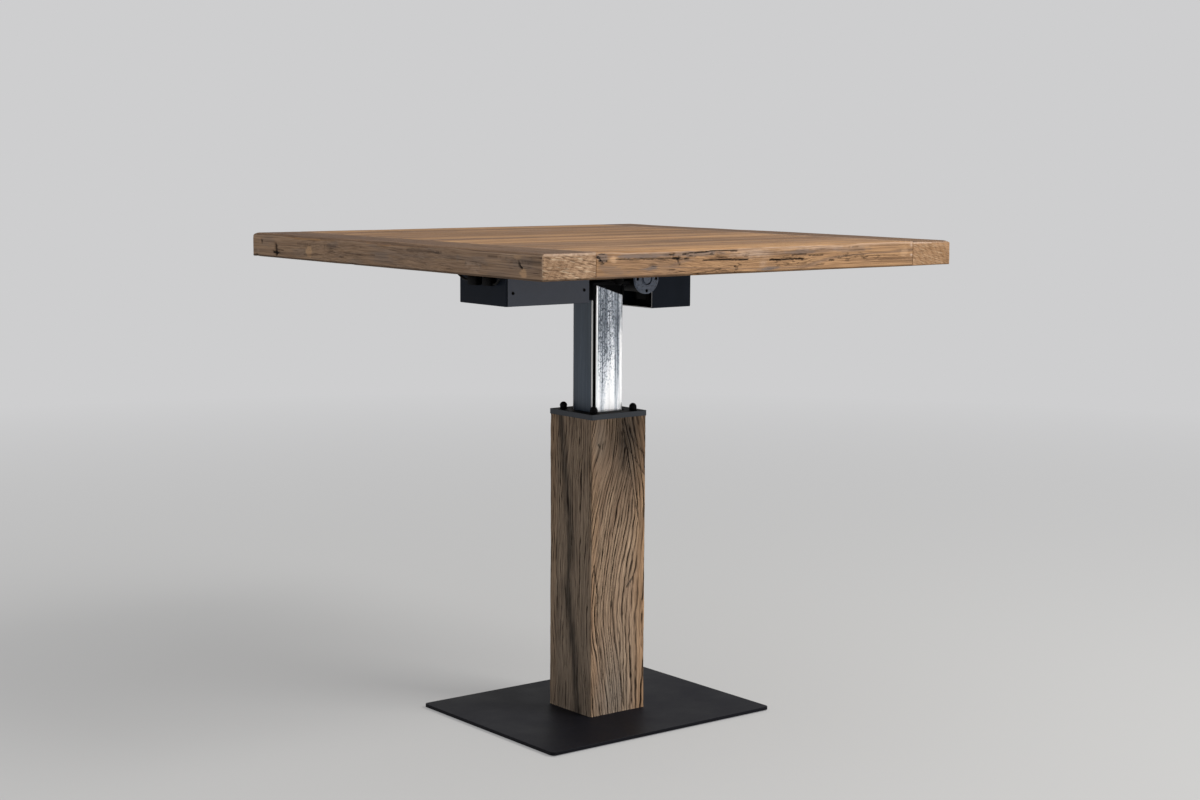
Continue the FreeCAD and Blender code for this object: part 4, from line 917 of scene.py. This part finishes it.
# Metres for the cells and the arris, millimetres for the rest. Cracks of the front face: line, width, depth.
post = {
    "cellAcross": 0.00105, "cellUp": 0.0038, "arris": 0.0035, "endFade": 0.004, "period": 6.6, "groove": 0.20,
    "deep": 2.0, "hollows": (0.75, 0.55, 0.30), "shallowest": 0.05, "faintest": 0.34,
    "dent": (2.4, 63, 4, 143, 7),        # depth, middle and width across, middle and height up
    "cracks": [
        ([(-56, 287), (-47, 232), (-49, 168), (-39, 121), (-34, 73)], 1.5, 3.0),
        ([(-15, 219), (-7, 144), (3, 96), (15, 19)], 1.5, 3.0), ([(34, 254), (28, 247), (21, 238)], 2.6, 3.5),
        ([(10, 530), (19, 499), (41, 470), (58, 445)], 1.8, 3.5), ([(19, 538), (41, 499), (61, 480)], 1.6, 3.0),
        ([(5, 528), (13, 503), (14, 474), (8, 453)], 1.5, 2.5),
        ([(6, 549), (14, 515), (22, 478), (36, 405), (46, 362)], 1.1, 1.6), ([(-49, 508), (-42, 500)], 2.0, 2.5),
        ([(-36, 508), (-38, 496)], 1.8, 2.5),
    ],
    # soft spots of the front face, in shares: amount, middle and width across, middle and height down
    "faint": (0.5, 0.17, 0.17, 0.05, 0.08), "strong": (0.35, 0.78, 0.24, 0.14, 0.16),
    "darkTop": (0.90, 0.66, 0.36, 0.06, 0.16), "greyTop": (0.6, 0.15, 0.12, 0.06, 0.08),
    "greyFoot": (0.9, 0.42, 0.26, 0.93, 0.16),
    # the dark band of the left face: height, place across
    "darkBand": [(551, 30), (488, 22), (416, 10), (325, 0), (231, 8), (142, -8), (87, -18), (8, -22)],
    # a seam runs down the front face: share of the way down, share across
    "seam": [(0.0, 0.55), (0.12, 0.66), (0.25, 0.77), (0.34, 0.86), (1.0, 0.86)],
    # grain lines there: share down, then (place, line) left of the seam at 0 to 1 and right of it at 1 to 2
    "flow": [
        (0.00, [(0, -0.30), (0.8, 0.20), (1, 0.36)], [(1, 0.88), (2, 1.25)]),
        (0.12, [(0, -0.10), (0.5, 0.14), (1, 0.50)], [(1, 0.86), (2, 1.13)]),
        (0.25, [(0, 0.02), (0.57, 0.44), (1, 0.82)], [(1, 0.88), (2, 1.02)]),
        (0.34, [(0, 0.11), (0.5, 0.54), (1, 0.94)], [(1, 0.94), (2, 1.05)]),
        (0.50, [(0, 0.27), (0.22, 0.44), (0.57, 0.77), (0.826, 0.93), (1, 1.01)], [(1, 1.01), (2, 1.10)]),
        (0.67, [(0, 0.32), (0.15, 0.44), (0.477, 0.77), (0.80, 0.95), (1, 1.03)], [(1, 1.03), (2, 1.10)]),
        (1.00, [(0, 0.12), (0.384, 0.44), (0.65, 0.77), (0.814, 0.95), (1, 1.03)], [(1, 1.03), (2, 1.10)]),
    ],
}


def between(pairs, value):
    for (first, one), (second, other) in zip(pairs, pairs[1:]):
        if value <= second:
            return one + (other - one) * (value - first) / (second - first)
    return pairs[-1][1]


def fallOff(value, middle, width):
    return math.exp(-((value - middle) / width) ** 2)


# Strength of a soft spot of the post at a point.
def spot(name, across, along):
    amount, middle, width, level, height = post[name]
    return amount * fallOff(across, middle, width) * fallOff(along, level, height)


# Which grain line passes a point of the front face, from its shares across and down.
def flowFront(u, t):
    seam = between(post["seam"], t)
    place, side = (u / seam, 1) if u < seam else (1 + (u - seam) / (1 - seam), 2)
    total = 0.0
    for shift in (-0.04, 0.0, 0.04):
        total += between([(row[0], between(row[side], place)) for row in post["flow"]], clamped(t + shift))
    return total / 3


def flowPlain(u, t, seed):
    sway = 0.05 * math.sin(t * 5 + seed) + 0.03 * math.sin(t * 9 + seed * 2 + u * 5)
    return u + sway * (1 - u) + 0.012 * math.sin(t * 13 + seed * 3 + u * 4)


# What the shader and the furrows need at a point of one side: its grain line and the masks.
def postField(p, side, low, high):
    width, height = high.x - low.x, high.z - low.z
    across = p.x - low.x if side[0] == 1 else p.y - low.y
    u, t = clamped(across / width), (high.z - p.z) / height
    seed = {(1, 0): 1.0, (0, 0): 21.0, (0, 1): 41.0, (1, 1): 61.0}[side]
    front, left = side == (1, 0), side == (0, 0)
    line = (flowFront(u, t) if front else flowPlain(u, t, seed)) * width / millimetre
    up = p.z / millimetre
    phase = line / post["period"] + (0.75 if front else 1.3) * noiseAt(line / 26, up / 120, seed)
    phase += 0.26 * noiseAt(line / 7, up / 42, seed + 3)
    phase += 0.17 * noiseAt(line / 5, up / 19, seed + 9)
    strength = 0.74 + 0.9 * noiseAt(line / 9, up / 130, seed + 6)
    ragged = 7 * noiseAt(across / millimetre / 9, up / 60, 2)
    dark = warm = grey = 0.0
    if left:
        strength -= 0.40 * t
        y = p.y / millimetre
        ragged += 5 * noiseAt(across / millimetre / 3, up / 22, 5)
        dark = 0.88 * fallOff(y + ragged, between([(-z, y0) for z, y0 in post["darkBand"]], -up), 11)
        warm = clamped(max((y + ragged - 36) / 14, (-y - 52 + ragged) / 14))
        grey = 0.5 + 0.35 * t
    elif front:
        strength += spot("strong", u, t) - spot("faint", u, t)
        dark = spot("darkTop", u + ragged / 70, t)
        warm = max(clamped((u - 0.72) / 0.28), 0.45 * fallOff(u + ragged / 90, 0.03, 0.10) * min(1, t * 3))
        grey = max(spot("greyFoot", u + ragged / 60, t), spot("greyTop", u, t))
    strength = min(1.0, max(post["faintest"], strength))
    return line, {"phase": phase, "strength": strength, "dark": dark, "warm": warm, "grey": grey}


# How deep the surface lies at a point of one side, and how near it is to a crack.
def postDepth(p, side, line, masks):
    up = p.z / millimetre
    seed = 7.0 * side[0] + 3.0 * side[1]
    furrow = max(0.0, 1 - abs(masks["phase"] % 1.0 - 0.5) / post["groove"]) * masks["strength"]
    rest, slow, ripple = post["hollows"]
    depth = rest + slow * noiseAt(line / 40, up / 110, seed) + post["deep"] * furrow
    depth += ripple * noiseAt(line / 2.6, up / 30, seed)
    crack = 0.0
    if side == (1, 0):
        for stroke, width, deep in post["cracks"]:
            near = strokeAt(Vector((p.x / millimetre, up)), stroke, width)
            depth += deep * near
            crack = max(crack, near)
        depth += spot("dent", p.x / millimetre, up)
    return depth, crack


# Closes an end with a flat ring round the tube's bore.
def closeEnd(bm, level, boreLow, boreHigh):
    outerRim = [e for e in bm.edges if e.is_boundary and all(abs(v.co.z - level) < 1e-5 for v in e.verts)]
    bore = bmesh.ops.create_grid(bm, x_segments=1, y_segments=1, size=0.5)["verts"]
    for v in bore:
        v.co = Vector((boreLow.x if v.co.x < 0 else boreHigh.x, boreLow.y if v.co.y < 0 else boreHigh.y, level))
    borderFace = bore[0].link_faces[0]
    boreRim = list(borderFace.edges)
    bmesh.ops.delete(bm, geom=[borderFace], context="FACES_ONLY")
    bmesh.ops.bridge_loops(bm, edges=outerRim + boreRim)


def makePost():
    low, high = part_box("post")
    height, radius = high.z - low.z, post["arris"]
    across = steps(low.x, high.x, post["cellAcross"], radius, radius)
    count = round(height / post["cellUp"])
    bm = gridBox([across, across, [low.z + height * k / count for k in range(count + 1)]])
    bmesh.ops.delete(bm, geom=[face for face in bm.faces if abs(face.normal.z) > 0.9], context="FACES")
    bm.verts.index_update()
    places = [v.co.copy() for v in bm.verts]
    grainLayer = bm.loops.layers.float_vector.new("grain")
    layers = {kind: bm.loops.layers.float.new(kind) for kind in postMasks}
    found = {}
    for face in bm.faces:
        axis = 0 if abs(face.normal.x) > 0.5 else 1
        side = (axis, 1 if face.normal[axis] > 0 else 0)
        for loop in face.loops:
            p, key = places[loop.vert.index], (loop.vert.index, side)
            if key not in found:
                line, masks = postField(p, side, low, high)
                depth, crack = postDepth(p, side, line, masks)
                masks["dark"] = max(masks["dark"], min(1.0, 1.4 * crack))
                found[key] = depth, crack, line, masks
            depth, crack, line, masks = found[key]
            loop[grainLayer] = Vector((p.z + side[0] * 3 + side[1] * 7, line * millimetre, 0.37 * axis))
            for kind in postMasks:
                loop[layers[kind]] = masks[kind]
    # an arris is as low as its shallower side, or as the side with a crack
    depths = {}
    for (index, side), (depth, crack, line, masks) in found.items():
        depths[index] = min(depth, depths.get(index, depth)) if crack == 0 else depth
    for v in bm.verts:
        p = places[v.index]
        wear = 1 + 0.6 * noiseAt(p.z * 8, p.x * 20, p.y * 20) + 0.3 * noiseAt(p.z * 45, p.x * 9, 5)
        moved = easeEdges(p, low, high, {edge: radius * max(0.5, wear) for edge in uprights})
        inner = Vector((min(max(moved.x, low.x + radius), high.x - radius),
                        min(max(moved.y, low.y + radius), high.y - radius), moved.z))
        out = (moved - inner).normalized()
        endFade = min(1.0, (high.z - p.z) / post["endFade"], (p.z - low.z) / post["endFade"])
        depth = max(post["shallowest"], depths[v.index]) * (0.5 + 0.5 * endFade)
        v.co = moved - out * depth * millimetre
    boreLow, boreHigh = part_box("guide_tube")
    for level in (high.z, low.z):
        closeEnd(bm, level, boreLow, boreHigh)
    bmesh.ops.bridge_loops(bm, edges=[e for e in bm.edges if e.is_boundary])
    bmesh.ops.recalc_face_normals(bm, faces=bm.faces)
    addPiece("post", bm, 60)


makePost()
print("post made")


capNut = {"flats": 12.6, "hex": 4.6, "turnedDown": 0.7, "dome": 6.9, "domeBase": 0.8, "height": 12.9,
          "washer": 7.0, "thick": 1.2, "eased": 0.3}


# Domed nut on a washer: the hexagon's corners turned down, a ball on top.
def hexNut(place):
    bm = bmesh.new()
    reach, tall, ball, thick = capNut["flats"] / math.sqrt(3), capNut["hex"], capNut["dome"], capNut["thick"]
    bmesh.ops.create_cone(bm, cap_ends=True, segments=6, radius1=reach, radius2=reach, depth=tall)
    bmesh.ops.translate(bm, verts=bm.verts, vec=(0, 0, tall / 2 + thick))
    bevelEdges(bm, [e for e in bm.edges if abs(e.verts[0].co.z - e.verts[1].co.z) < 1e-4], capNut["turnedDown"])
    wide, eased = capNut["washer"], capNut["eased"]
    washer = turned([(0, 0), (wide - eased, 0), (wide, eased), (wide, thick - eased), (wide - eased, thick),
                     (0, thick)], 28)
    base, tip = tall + capNut["domeBase"], capNut["height"]
    arc = [(ball * math.cos(a), tip - ball + ball * math.sin(a)) for a in (math.radians(11.25 * k) for k in range(8))]
    dome = turned([(0, base), (ball, base)] + arc + [(0, tip)], 24)
    nut = joined([bm, washer, dome])
    bmesh.ops.scale(nut, verts=nut.verts, vec=(millimetre,) * 3)
    bmesh.ops.rotate(nut, verts=nut.verts, matrix=Matrix.Rotation(place.x * 90 + place.y * 30, 3, "Z"))
    bmesh.ops.translate(nut, verts=nut.verts, vec=place)
    return nut


def makeCapNuts():
    places = [Vector((*middleOf(low, high).xy, low.z)) for low, high in islandBoxes("cap_nuts")]
    addPiece("cap_nuts", joined([hexNut(place) for place in places]))


# Cross-recess heads over the CAD shanks: each solid's head lies at its end along the direction.
def screwPiece(node, radius, height, direction, materials=None):
    radius, height, direction = radius * millimetre, height * millimetre, Vector(direction)
    head = crossHead(radius, height)
    parts = []
    for low, high in islandBoxes(node):
        middle = middleOf(low, high)
        outer = Vector(high[k] if direction[k] > 0.5 else low[k] if direction[k] < -0.5 else middle[k]
                       for k in range(3))
        stand = facing(direction, outer - direction * height)
        parts.append(placed(head, stand))
        deep = (high - low).dot(Vector(abs(v) for v in direction)) - height
        if deep > 0.001:
            thin = radius * 0.42
            parts.append(turned([(0, -deep), (thin * 0.6, -deep), (thin, -deep * 0.85), (thin, 0), (0, 0)], 12, stand))
    addPiece(node, joined(parts), materials=materials)


def makeColumn():
    makeCapNuts()
    dressNode("base_plate", edge=0.0004)
    # The cap plate's top takes the near-black copy: painted shade under the tabletop.
    dressNode("cap_plate", edge=0.0008, materials=[capSide, paintedShadeBlack], paint=lambda face: int(abs(face.normal.z) > 0.9))
    # The tube's front face takes the near-black copy: painted shade beside the rail.
    dressNode("lift_tube", crease=40, materials=[finishes["tube_paint"], tubePaintedShade],
              paint=lambda face: int(face.normal.y < -0.75 and face.calc_center_median().y < -0.026))
    dressNode("guide_rail", crease=40)
    dressNode("head_bracket", edge=0.0004)
    dressNode("spindle", crease=40)
    for node in ("tie_rods", "guide_tube", "upper_glide", "lower_glide", "push_tube", "push_tube_foot",
                 "spindle_nut", "floor_pads"):
        dressNode(node)
    for node in ("bearing_plate", "spindle_bearing"):
        dressNode(node, materials=[bluedSteel])


makeColumn()
print("column made")


def brick(low, high, edge):
    bm = bmesh.new()
    bmesh.ops.create_cube(bm, size=1.0)
    low, high = Vector(low), Vector(high)
    bmesh.ops.scale(bm, verts=bm.verts, vec=high - low)
    bmesh.ops.translate(bm, verts=bm.verts, vec=middleOf(low, high))
    bevelEdges(bm, list(bm.edges), edge)
    return bm


# Turned form from a profile in millimetres.
def turnedSmall(profile, steps, turn=Matrix.Identity(4)):
    return turned([(radius * millimetre, height * millimetre) for radius, height in profile], steps, turn)


wormCap = {
    "outline": [(0, 0), (27.5, 0), (27.5, 3.6), (27.1, 4.5), (26.3, 5.0), (12.0, 5.0), (11.8, 6.0), (11.5, 6.2),
                (11.3, 6.0), (11.1, 2.8), (8.6, 2.8), (8.4, 5.8), (8.0, 6.1), (0, 6.1)],
    "hole": [(0, 0.9), (3.1, 0.9), (3.1, 7), (0, 7)],
    "head": [(0, 0), (2.8, 0), (2.8, 3.9), (2.4, 4.3), (0, 4.3)], "socket": (1.6, 2.2),
}


# End cap with a grooved boss, and socket screws sunk in it.
def makeWormCap():
    low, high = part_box("worm_cap")
    middle = middleOf(low, high)
    seats = []
    for first, last in islandBoxes("worm_cap_screws"):
        seat = middleOf(first, last)
        seats.append(facing((0, -1, 0), (seat.x, last.y, seat.z)))
    cap = cutMesh(turnedSmall(wormCap["outline"], 64, facing((0, -1, 0), (middle.x, high.y, middle.z))),
                  joined([turnedSmall(wormCap["hole"], 20, seat) for seat in seats]))
    addPiece("worm_cap", placed(cap, Matrix.Identity(4)), 30)
    across, sunk = (v * millimetre for v in wormCap["socket"])
    socket = bmesh.new()
    bmesh.ops.create_cone(socket, cap_ends=True, segments=6, radius1=across, radius2=across, depth=2 * sunk)
    bmesh.ops.translate(socket, verts=socket.verts, vec=(0, 0, wormCap["head"][-1][1] * millimetre))
    head = cutMesh(turnedSmall(wormCap["head"], 24), socket)
    # Near-black screw heads: painted shade in their holes.
    addPiece("worm_cap_screws", joined([placed(head, seat) for seat in seats]), 30, [paintedShadeBlack])


motor = {
    "radius": 26.0,
    "outline": [(0, 0), (24.0, 0), (25.4, 0.6), (26.0, 2.0), (26.0, 9.0), (25.2, 9.6), (25.2, 10.8), (26.0, 11.4),
                (26.0, 70.0), (25.2, 70.6), (25.2, 71.8), (26.0, 72.4), (26.0, 88.0), (25.2, 90.6), (23.0, 92.0),
                (13.8, 92.0), (13.4, 91.0), (12.1, 91.0), (11.7, 92.0), (11.7, 96.8), (10.8, 98.0), (4.2, 98.0),
                (3.6, 96.6), (0, 96.6)],
    "terminal": [(0, 20), (6.5, 20), (6.5, 25.9), (6.0, 26.5), (0, 26.5)],
    # a vent's first and last radius, half width, first and last height, and eased edge
    "vents": 12, "vent": (24.6, 27.0, 2.2, 76.0, 86.0, 0.8),
}


# Motor can with rolled seams, vent slots round its end bell and a terminal boss.
def makeMotor():
    low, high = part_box("motor_body")
    axis = Vector((high.x - motor["radius"] * millimetre, low.y, (low.z + high.z) / 2))
    gland = middleOf(*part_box("motor_gland"))
    slots = []
    inner, outer, half, start, end, edge = (v * millimetre for v in motor["vent"])
    for k in range(motor["vents"]):
        slot = brick((inner, -half, start), (outer, half, end), edge)
        bmesh.ops.rotate(slot, verts=slot.verts, matrix=Matrix.Rotation(math.tau * k / motor["vents"], 3, "Z"))
        slots.append(slot)
    can = cutMesh(turnedSmall(motor["outline"], 64), joined(slots))
    boss = turnedSmall(motor["terminal"], 28, facing((-1, 0, 0), (axis.x, gland.y, axis.z)))
    addPiece("motor_body", joined([placed(can, facing((0, 1, 0), axis)), boss]), 30)


plug = {"skin": 0.0009, "back": 0.0006, "edge": 0.0012, "ribs": 4, "first": 0.0016, "pitch": 0.0026, "rib": 0.0013,
        "ribEdge": 0.0004}


# Moulded plug: a core with grip ribs round it.
def makePlug(node):
    low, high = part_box(node)
    skin = plug["skin"]
    parts = [brick(low + Vector((plug["back"], skin, skin)), high - Vector((0, skin, skin)), plug["edge"])]
    for k in range(plug["ribs"]):
        start = low.x + plug["first"] + plug["pitch"] * k
        parts.append(brick((start, low.y, low.z), (start + plug["rib"], high.y, high.z), plug["ribEdge"]))
    addPiece(node, joined(parts), 40)


arrow = {"foot": 0.0036, "face": 0.0033, "thick": 0.0008, "sunk": 0.00025}
upright = Matrix(((0, 0, 1, 0), (1, 0, 0, 0), (0, 1, 0, 0), (0, 0, 0, 1)))


# Sprung key with a raised arrow on its face.
def makeKey(node, turn):
    low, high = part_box(node)
    middle = middleOf(low, high)
    raised = bmesh.new()
    bmesh.ops.create_cone(raised, cap_ends=True, segments=3, radius1=arrow["foot"], radius2=arrow["face"],
                          depth=arrow["thick"])
    for face in raised.faces:
        face.material_index = 1
    place = Matrix.Translation((high.x - arrow["sunk"], middle.y, middle.z))
    bmesh.ops.transform(raised, matrix=place @ upright @ Matrix.Rotation(turn, 4, "Z"), verts=raised.verts)
    addPiece(node, joined([flatCopy(node), raised]), 35, [finishes["key_plastic"], arrowPaint])


# The supply unit's open end shows the sheet's bare edge.
def rawEnd(face):
    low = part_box("supply_case")[0]
    return int(face.normal.x < -0.9 and abs(face.calc_center_median().x - low.x) < 0.0003)


def makeUnits():
    makeWormCap()
    makeMotor()
    makePlug("motor_plug")
    makePlug("switch_plug")
    makeKey("up_key", 0)
    makeKey("down_key", math.pi)
    for node, edge in (("gear_housing", 0.0006), ("motor_gland", 0.0004), ("mounting_frame", 0.0004),
                       ("control_case", 0.0002)):
        dressNode(node, edge)
    # The cover's left end takes the near-black copy: painted shade.
    dressNode("control_cover", 0.0002, materials=[finishes["unit_cover"], paintedShadeBlack],
              paint=lambda face: int(face.normal.x < -0.9))
    dressNode("supply_case", materials=[finishes["unit_case"], rawSteel], paint=rawEnd)
    for node, edge in (("transformer_core", 0.0004), ("transformer_coil", 0.003), ("mains_inlet", 0.0004),
                       ("inlet_pins", 0.0003), ("switch_case", 0.0003), ("lead_clips", 0.0003), ("circuit_board", 0),
                       ("switch_lead", 0), ("motor_lead", 0), ("border_tongues", 0), ("plank_tongues", 0),
                       ("foot_screws", 0)):
        dressNode(node, edge)
    for node in ("frame_screws", "case_screws", "switch_screws"):
        screwPiece(node, 5.5, 3.2, (0, 0, -1))
    screwPiece("lug_screws", 6.5, 5.0, (0, 0, -1), [bluedSteel])
    # Near-black heads: painted shade in their holes.
    screwPiece("control_cover_screws", 2.7, 1.4, (0, -1, 0), [paintedShadeBlack])
    dressNode("bracket_screws")


makeUnits()
print("units made")


studio = {
    "pale": tint(206, 206, 207), "floor": tint(196, 195, 192), "fill": 0.42, "nearGlow": 0.42, "reach": (0.9, 5.0),
    "floorHalf": 60,
    "key": {"at": (1.9, -3.3, 3.7), "size": (2.0, 2.0), "power": 200, "to": (0, 0, 0.5)},
    "overhead": {"at": (0.2, -0.4, 3.4), "size": (2.6, 2.6), "power": 8, "to": (0, 0, 0.8)},
    "strip": {"at": (3.1, -3.95, 0.42), "size": (0.8, 0.84), "power": 9.0, "to": (0, 0, 0.6)},
}


def addLamp(name, lamp):
    data = bpy.data.lights.new(name, "AREA")
    data.shape = "RECTANGLE"
    data.size, data.size_y = lamp["size"]
    data.energy = lamp["power"]
    light = bpy.data.objects.new(name, data)
    bpy.context.scene.collection.objects.link(light)
    away = Vector(lamp["at"]) - Vector(lamp["to"])
    light.matrix_world = facing(away, lamp["at"])
    light.visible_camera = False


# 1 where the camera looks or a metal or a glass mirrors, 0 for the light that falls on the object.
def seenRays(tree):
    path = tree.nodes.new("ShaderNodeLightPath")
    total = path.outputs["Is Camera Ray"]
    for name in ("Is Glossy Ray", "Is Transmission Ray"):
        most = tree.nodes.new("ShaderNodeMath")
        most.operation = "MAXIMUM"
        tree.links.new(total, most.inputs[0])
        tree.links.new(path.outputs[name], most.inputs[1])
        total = most.outputs[0]
    return total


# Pale floor that glows into the backdrop's colour further out, so that no horizon shows.
def makeFloor():
    bm = bmesh.new()
    bmesh.ops.create_grid(bm, x_segments=2, y_segments=2, size=studio["floorHalf"])
    floor = bpy.data.objects.new("floor", bpy.data.meshes.new("floor"))
    bm.to_mesh(floor.data)
    bm.free()
    bpy.context.scene.collection.objects.link(floor)
    f = Finish("floor", studio["floor"], roughness=0.9, specular=0.1)
    away = f.node("ShaderNodeVectorMath", {0: f.coords}, "Value", operation="LENGTH")
    near, far = studio["reach"]
    glow = f.times(f.levels(away, near, far, studio["nearGlow"], 1.0), seenRays(f.tree))
    shine = f.node("ShaderNodeEmission", {"Color": (*studio["pale"], 1)})
    mixer = f.node("ShaderNodeMixShader", {0: glow, 1: f.shader.outputs[0], 2: shine})
    under = f.node("ShaderNodeNewGeometry", {}, "Backfacing")
    clear = f.node("ShaderNodeBsdfTransparent", {})
    oneSided = f.node("ShaderNodeMixShader", {0: under, 1: mixer, 2: clear})
    f.tree.links.new(oneSided, f.tree.nodes["Material Output"].inputs["Surface"])
    floor.data.materials.append(f.material)


def makeStudio():
    makeFloor()
    for name in ("key", "overhead", "strip"):
        addLamp(name, studio[name])
    world = bpy.data.worlds.new("studio")
    bpy.context.scene.world = world
    world.use_nodes = True
    tree = world.node_tree
    tree.nodes.clear()
    output = tree.nodes.new("ShaderNodeOutputWorld")
    seen, unseen = tree.nodes.new("ShaderNodeBackground"), tree.nodes.new("ShaderNodeBackground")
    seen.inputs["Color"].default_value = (*studio["pale"], 1)
    unseen.inputs["Color"].default_value = (1, 1, 1, 1)
    unseen.inputs["Strength"].default_value = studio["fill"]
    mixer = tree.nodes.new("ShaderNodeMixShader")
    tree.links.new(seenRays(tree), mixer.inputs[0])
    tree.links.new(unseen.outputs[0], mixer.inputs[1])
    tree.links.new(seen.outputs[0], mixer.inputs[2])
    tree.links.new(mixer.outputs[0], output.inputs[0])
    bpy.context.scene.view_settings.view_transform = "Standard"


makeStudio()
print("studio lit")
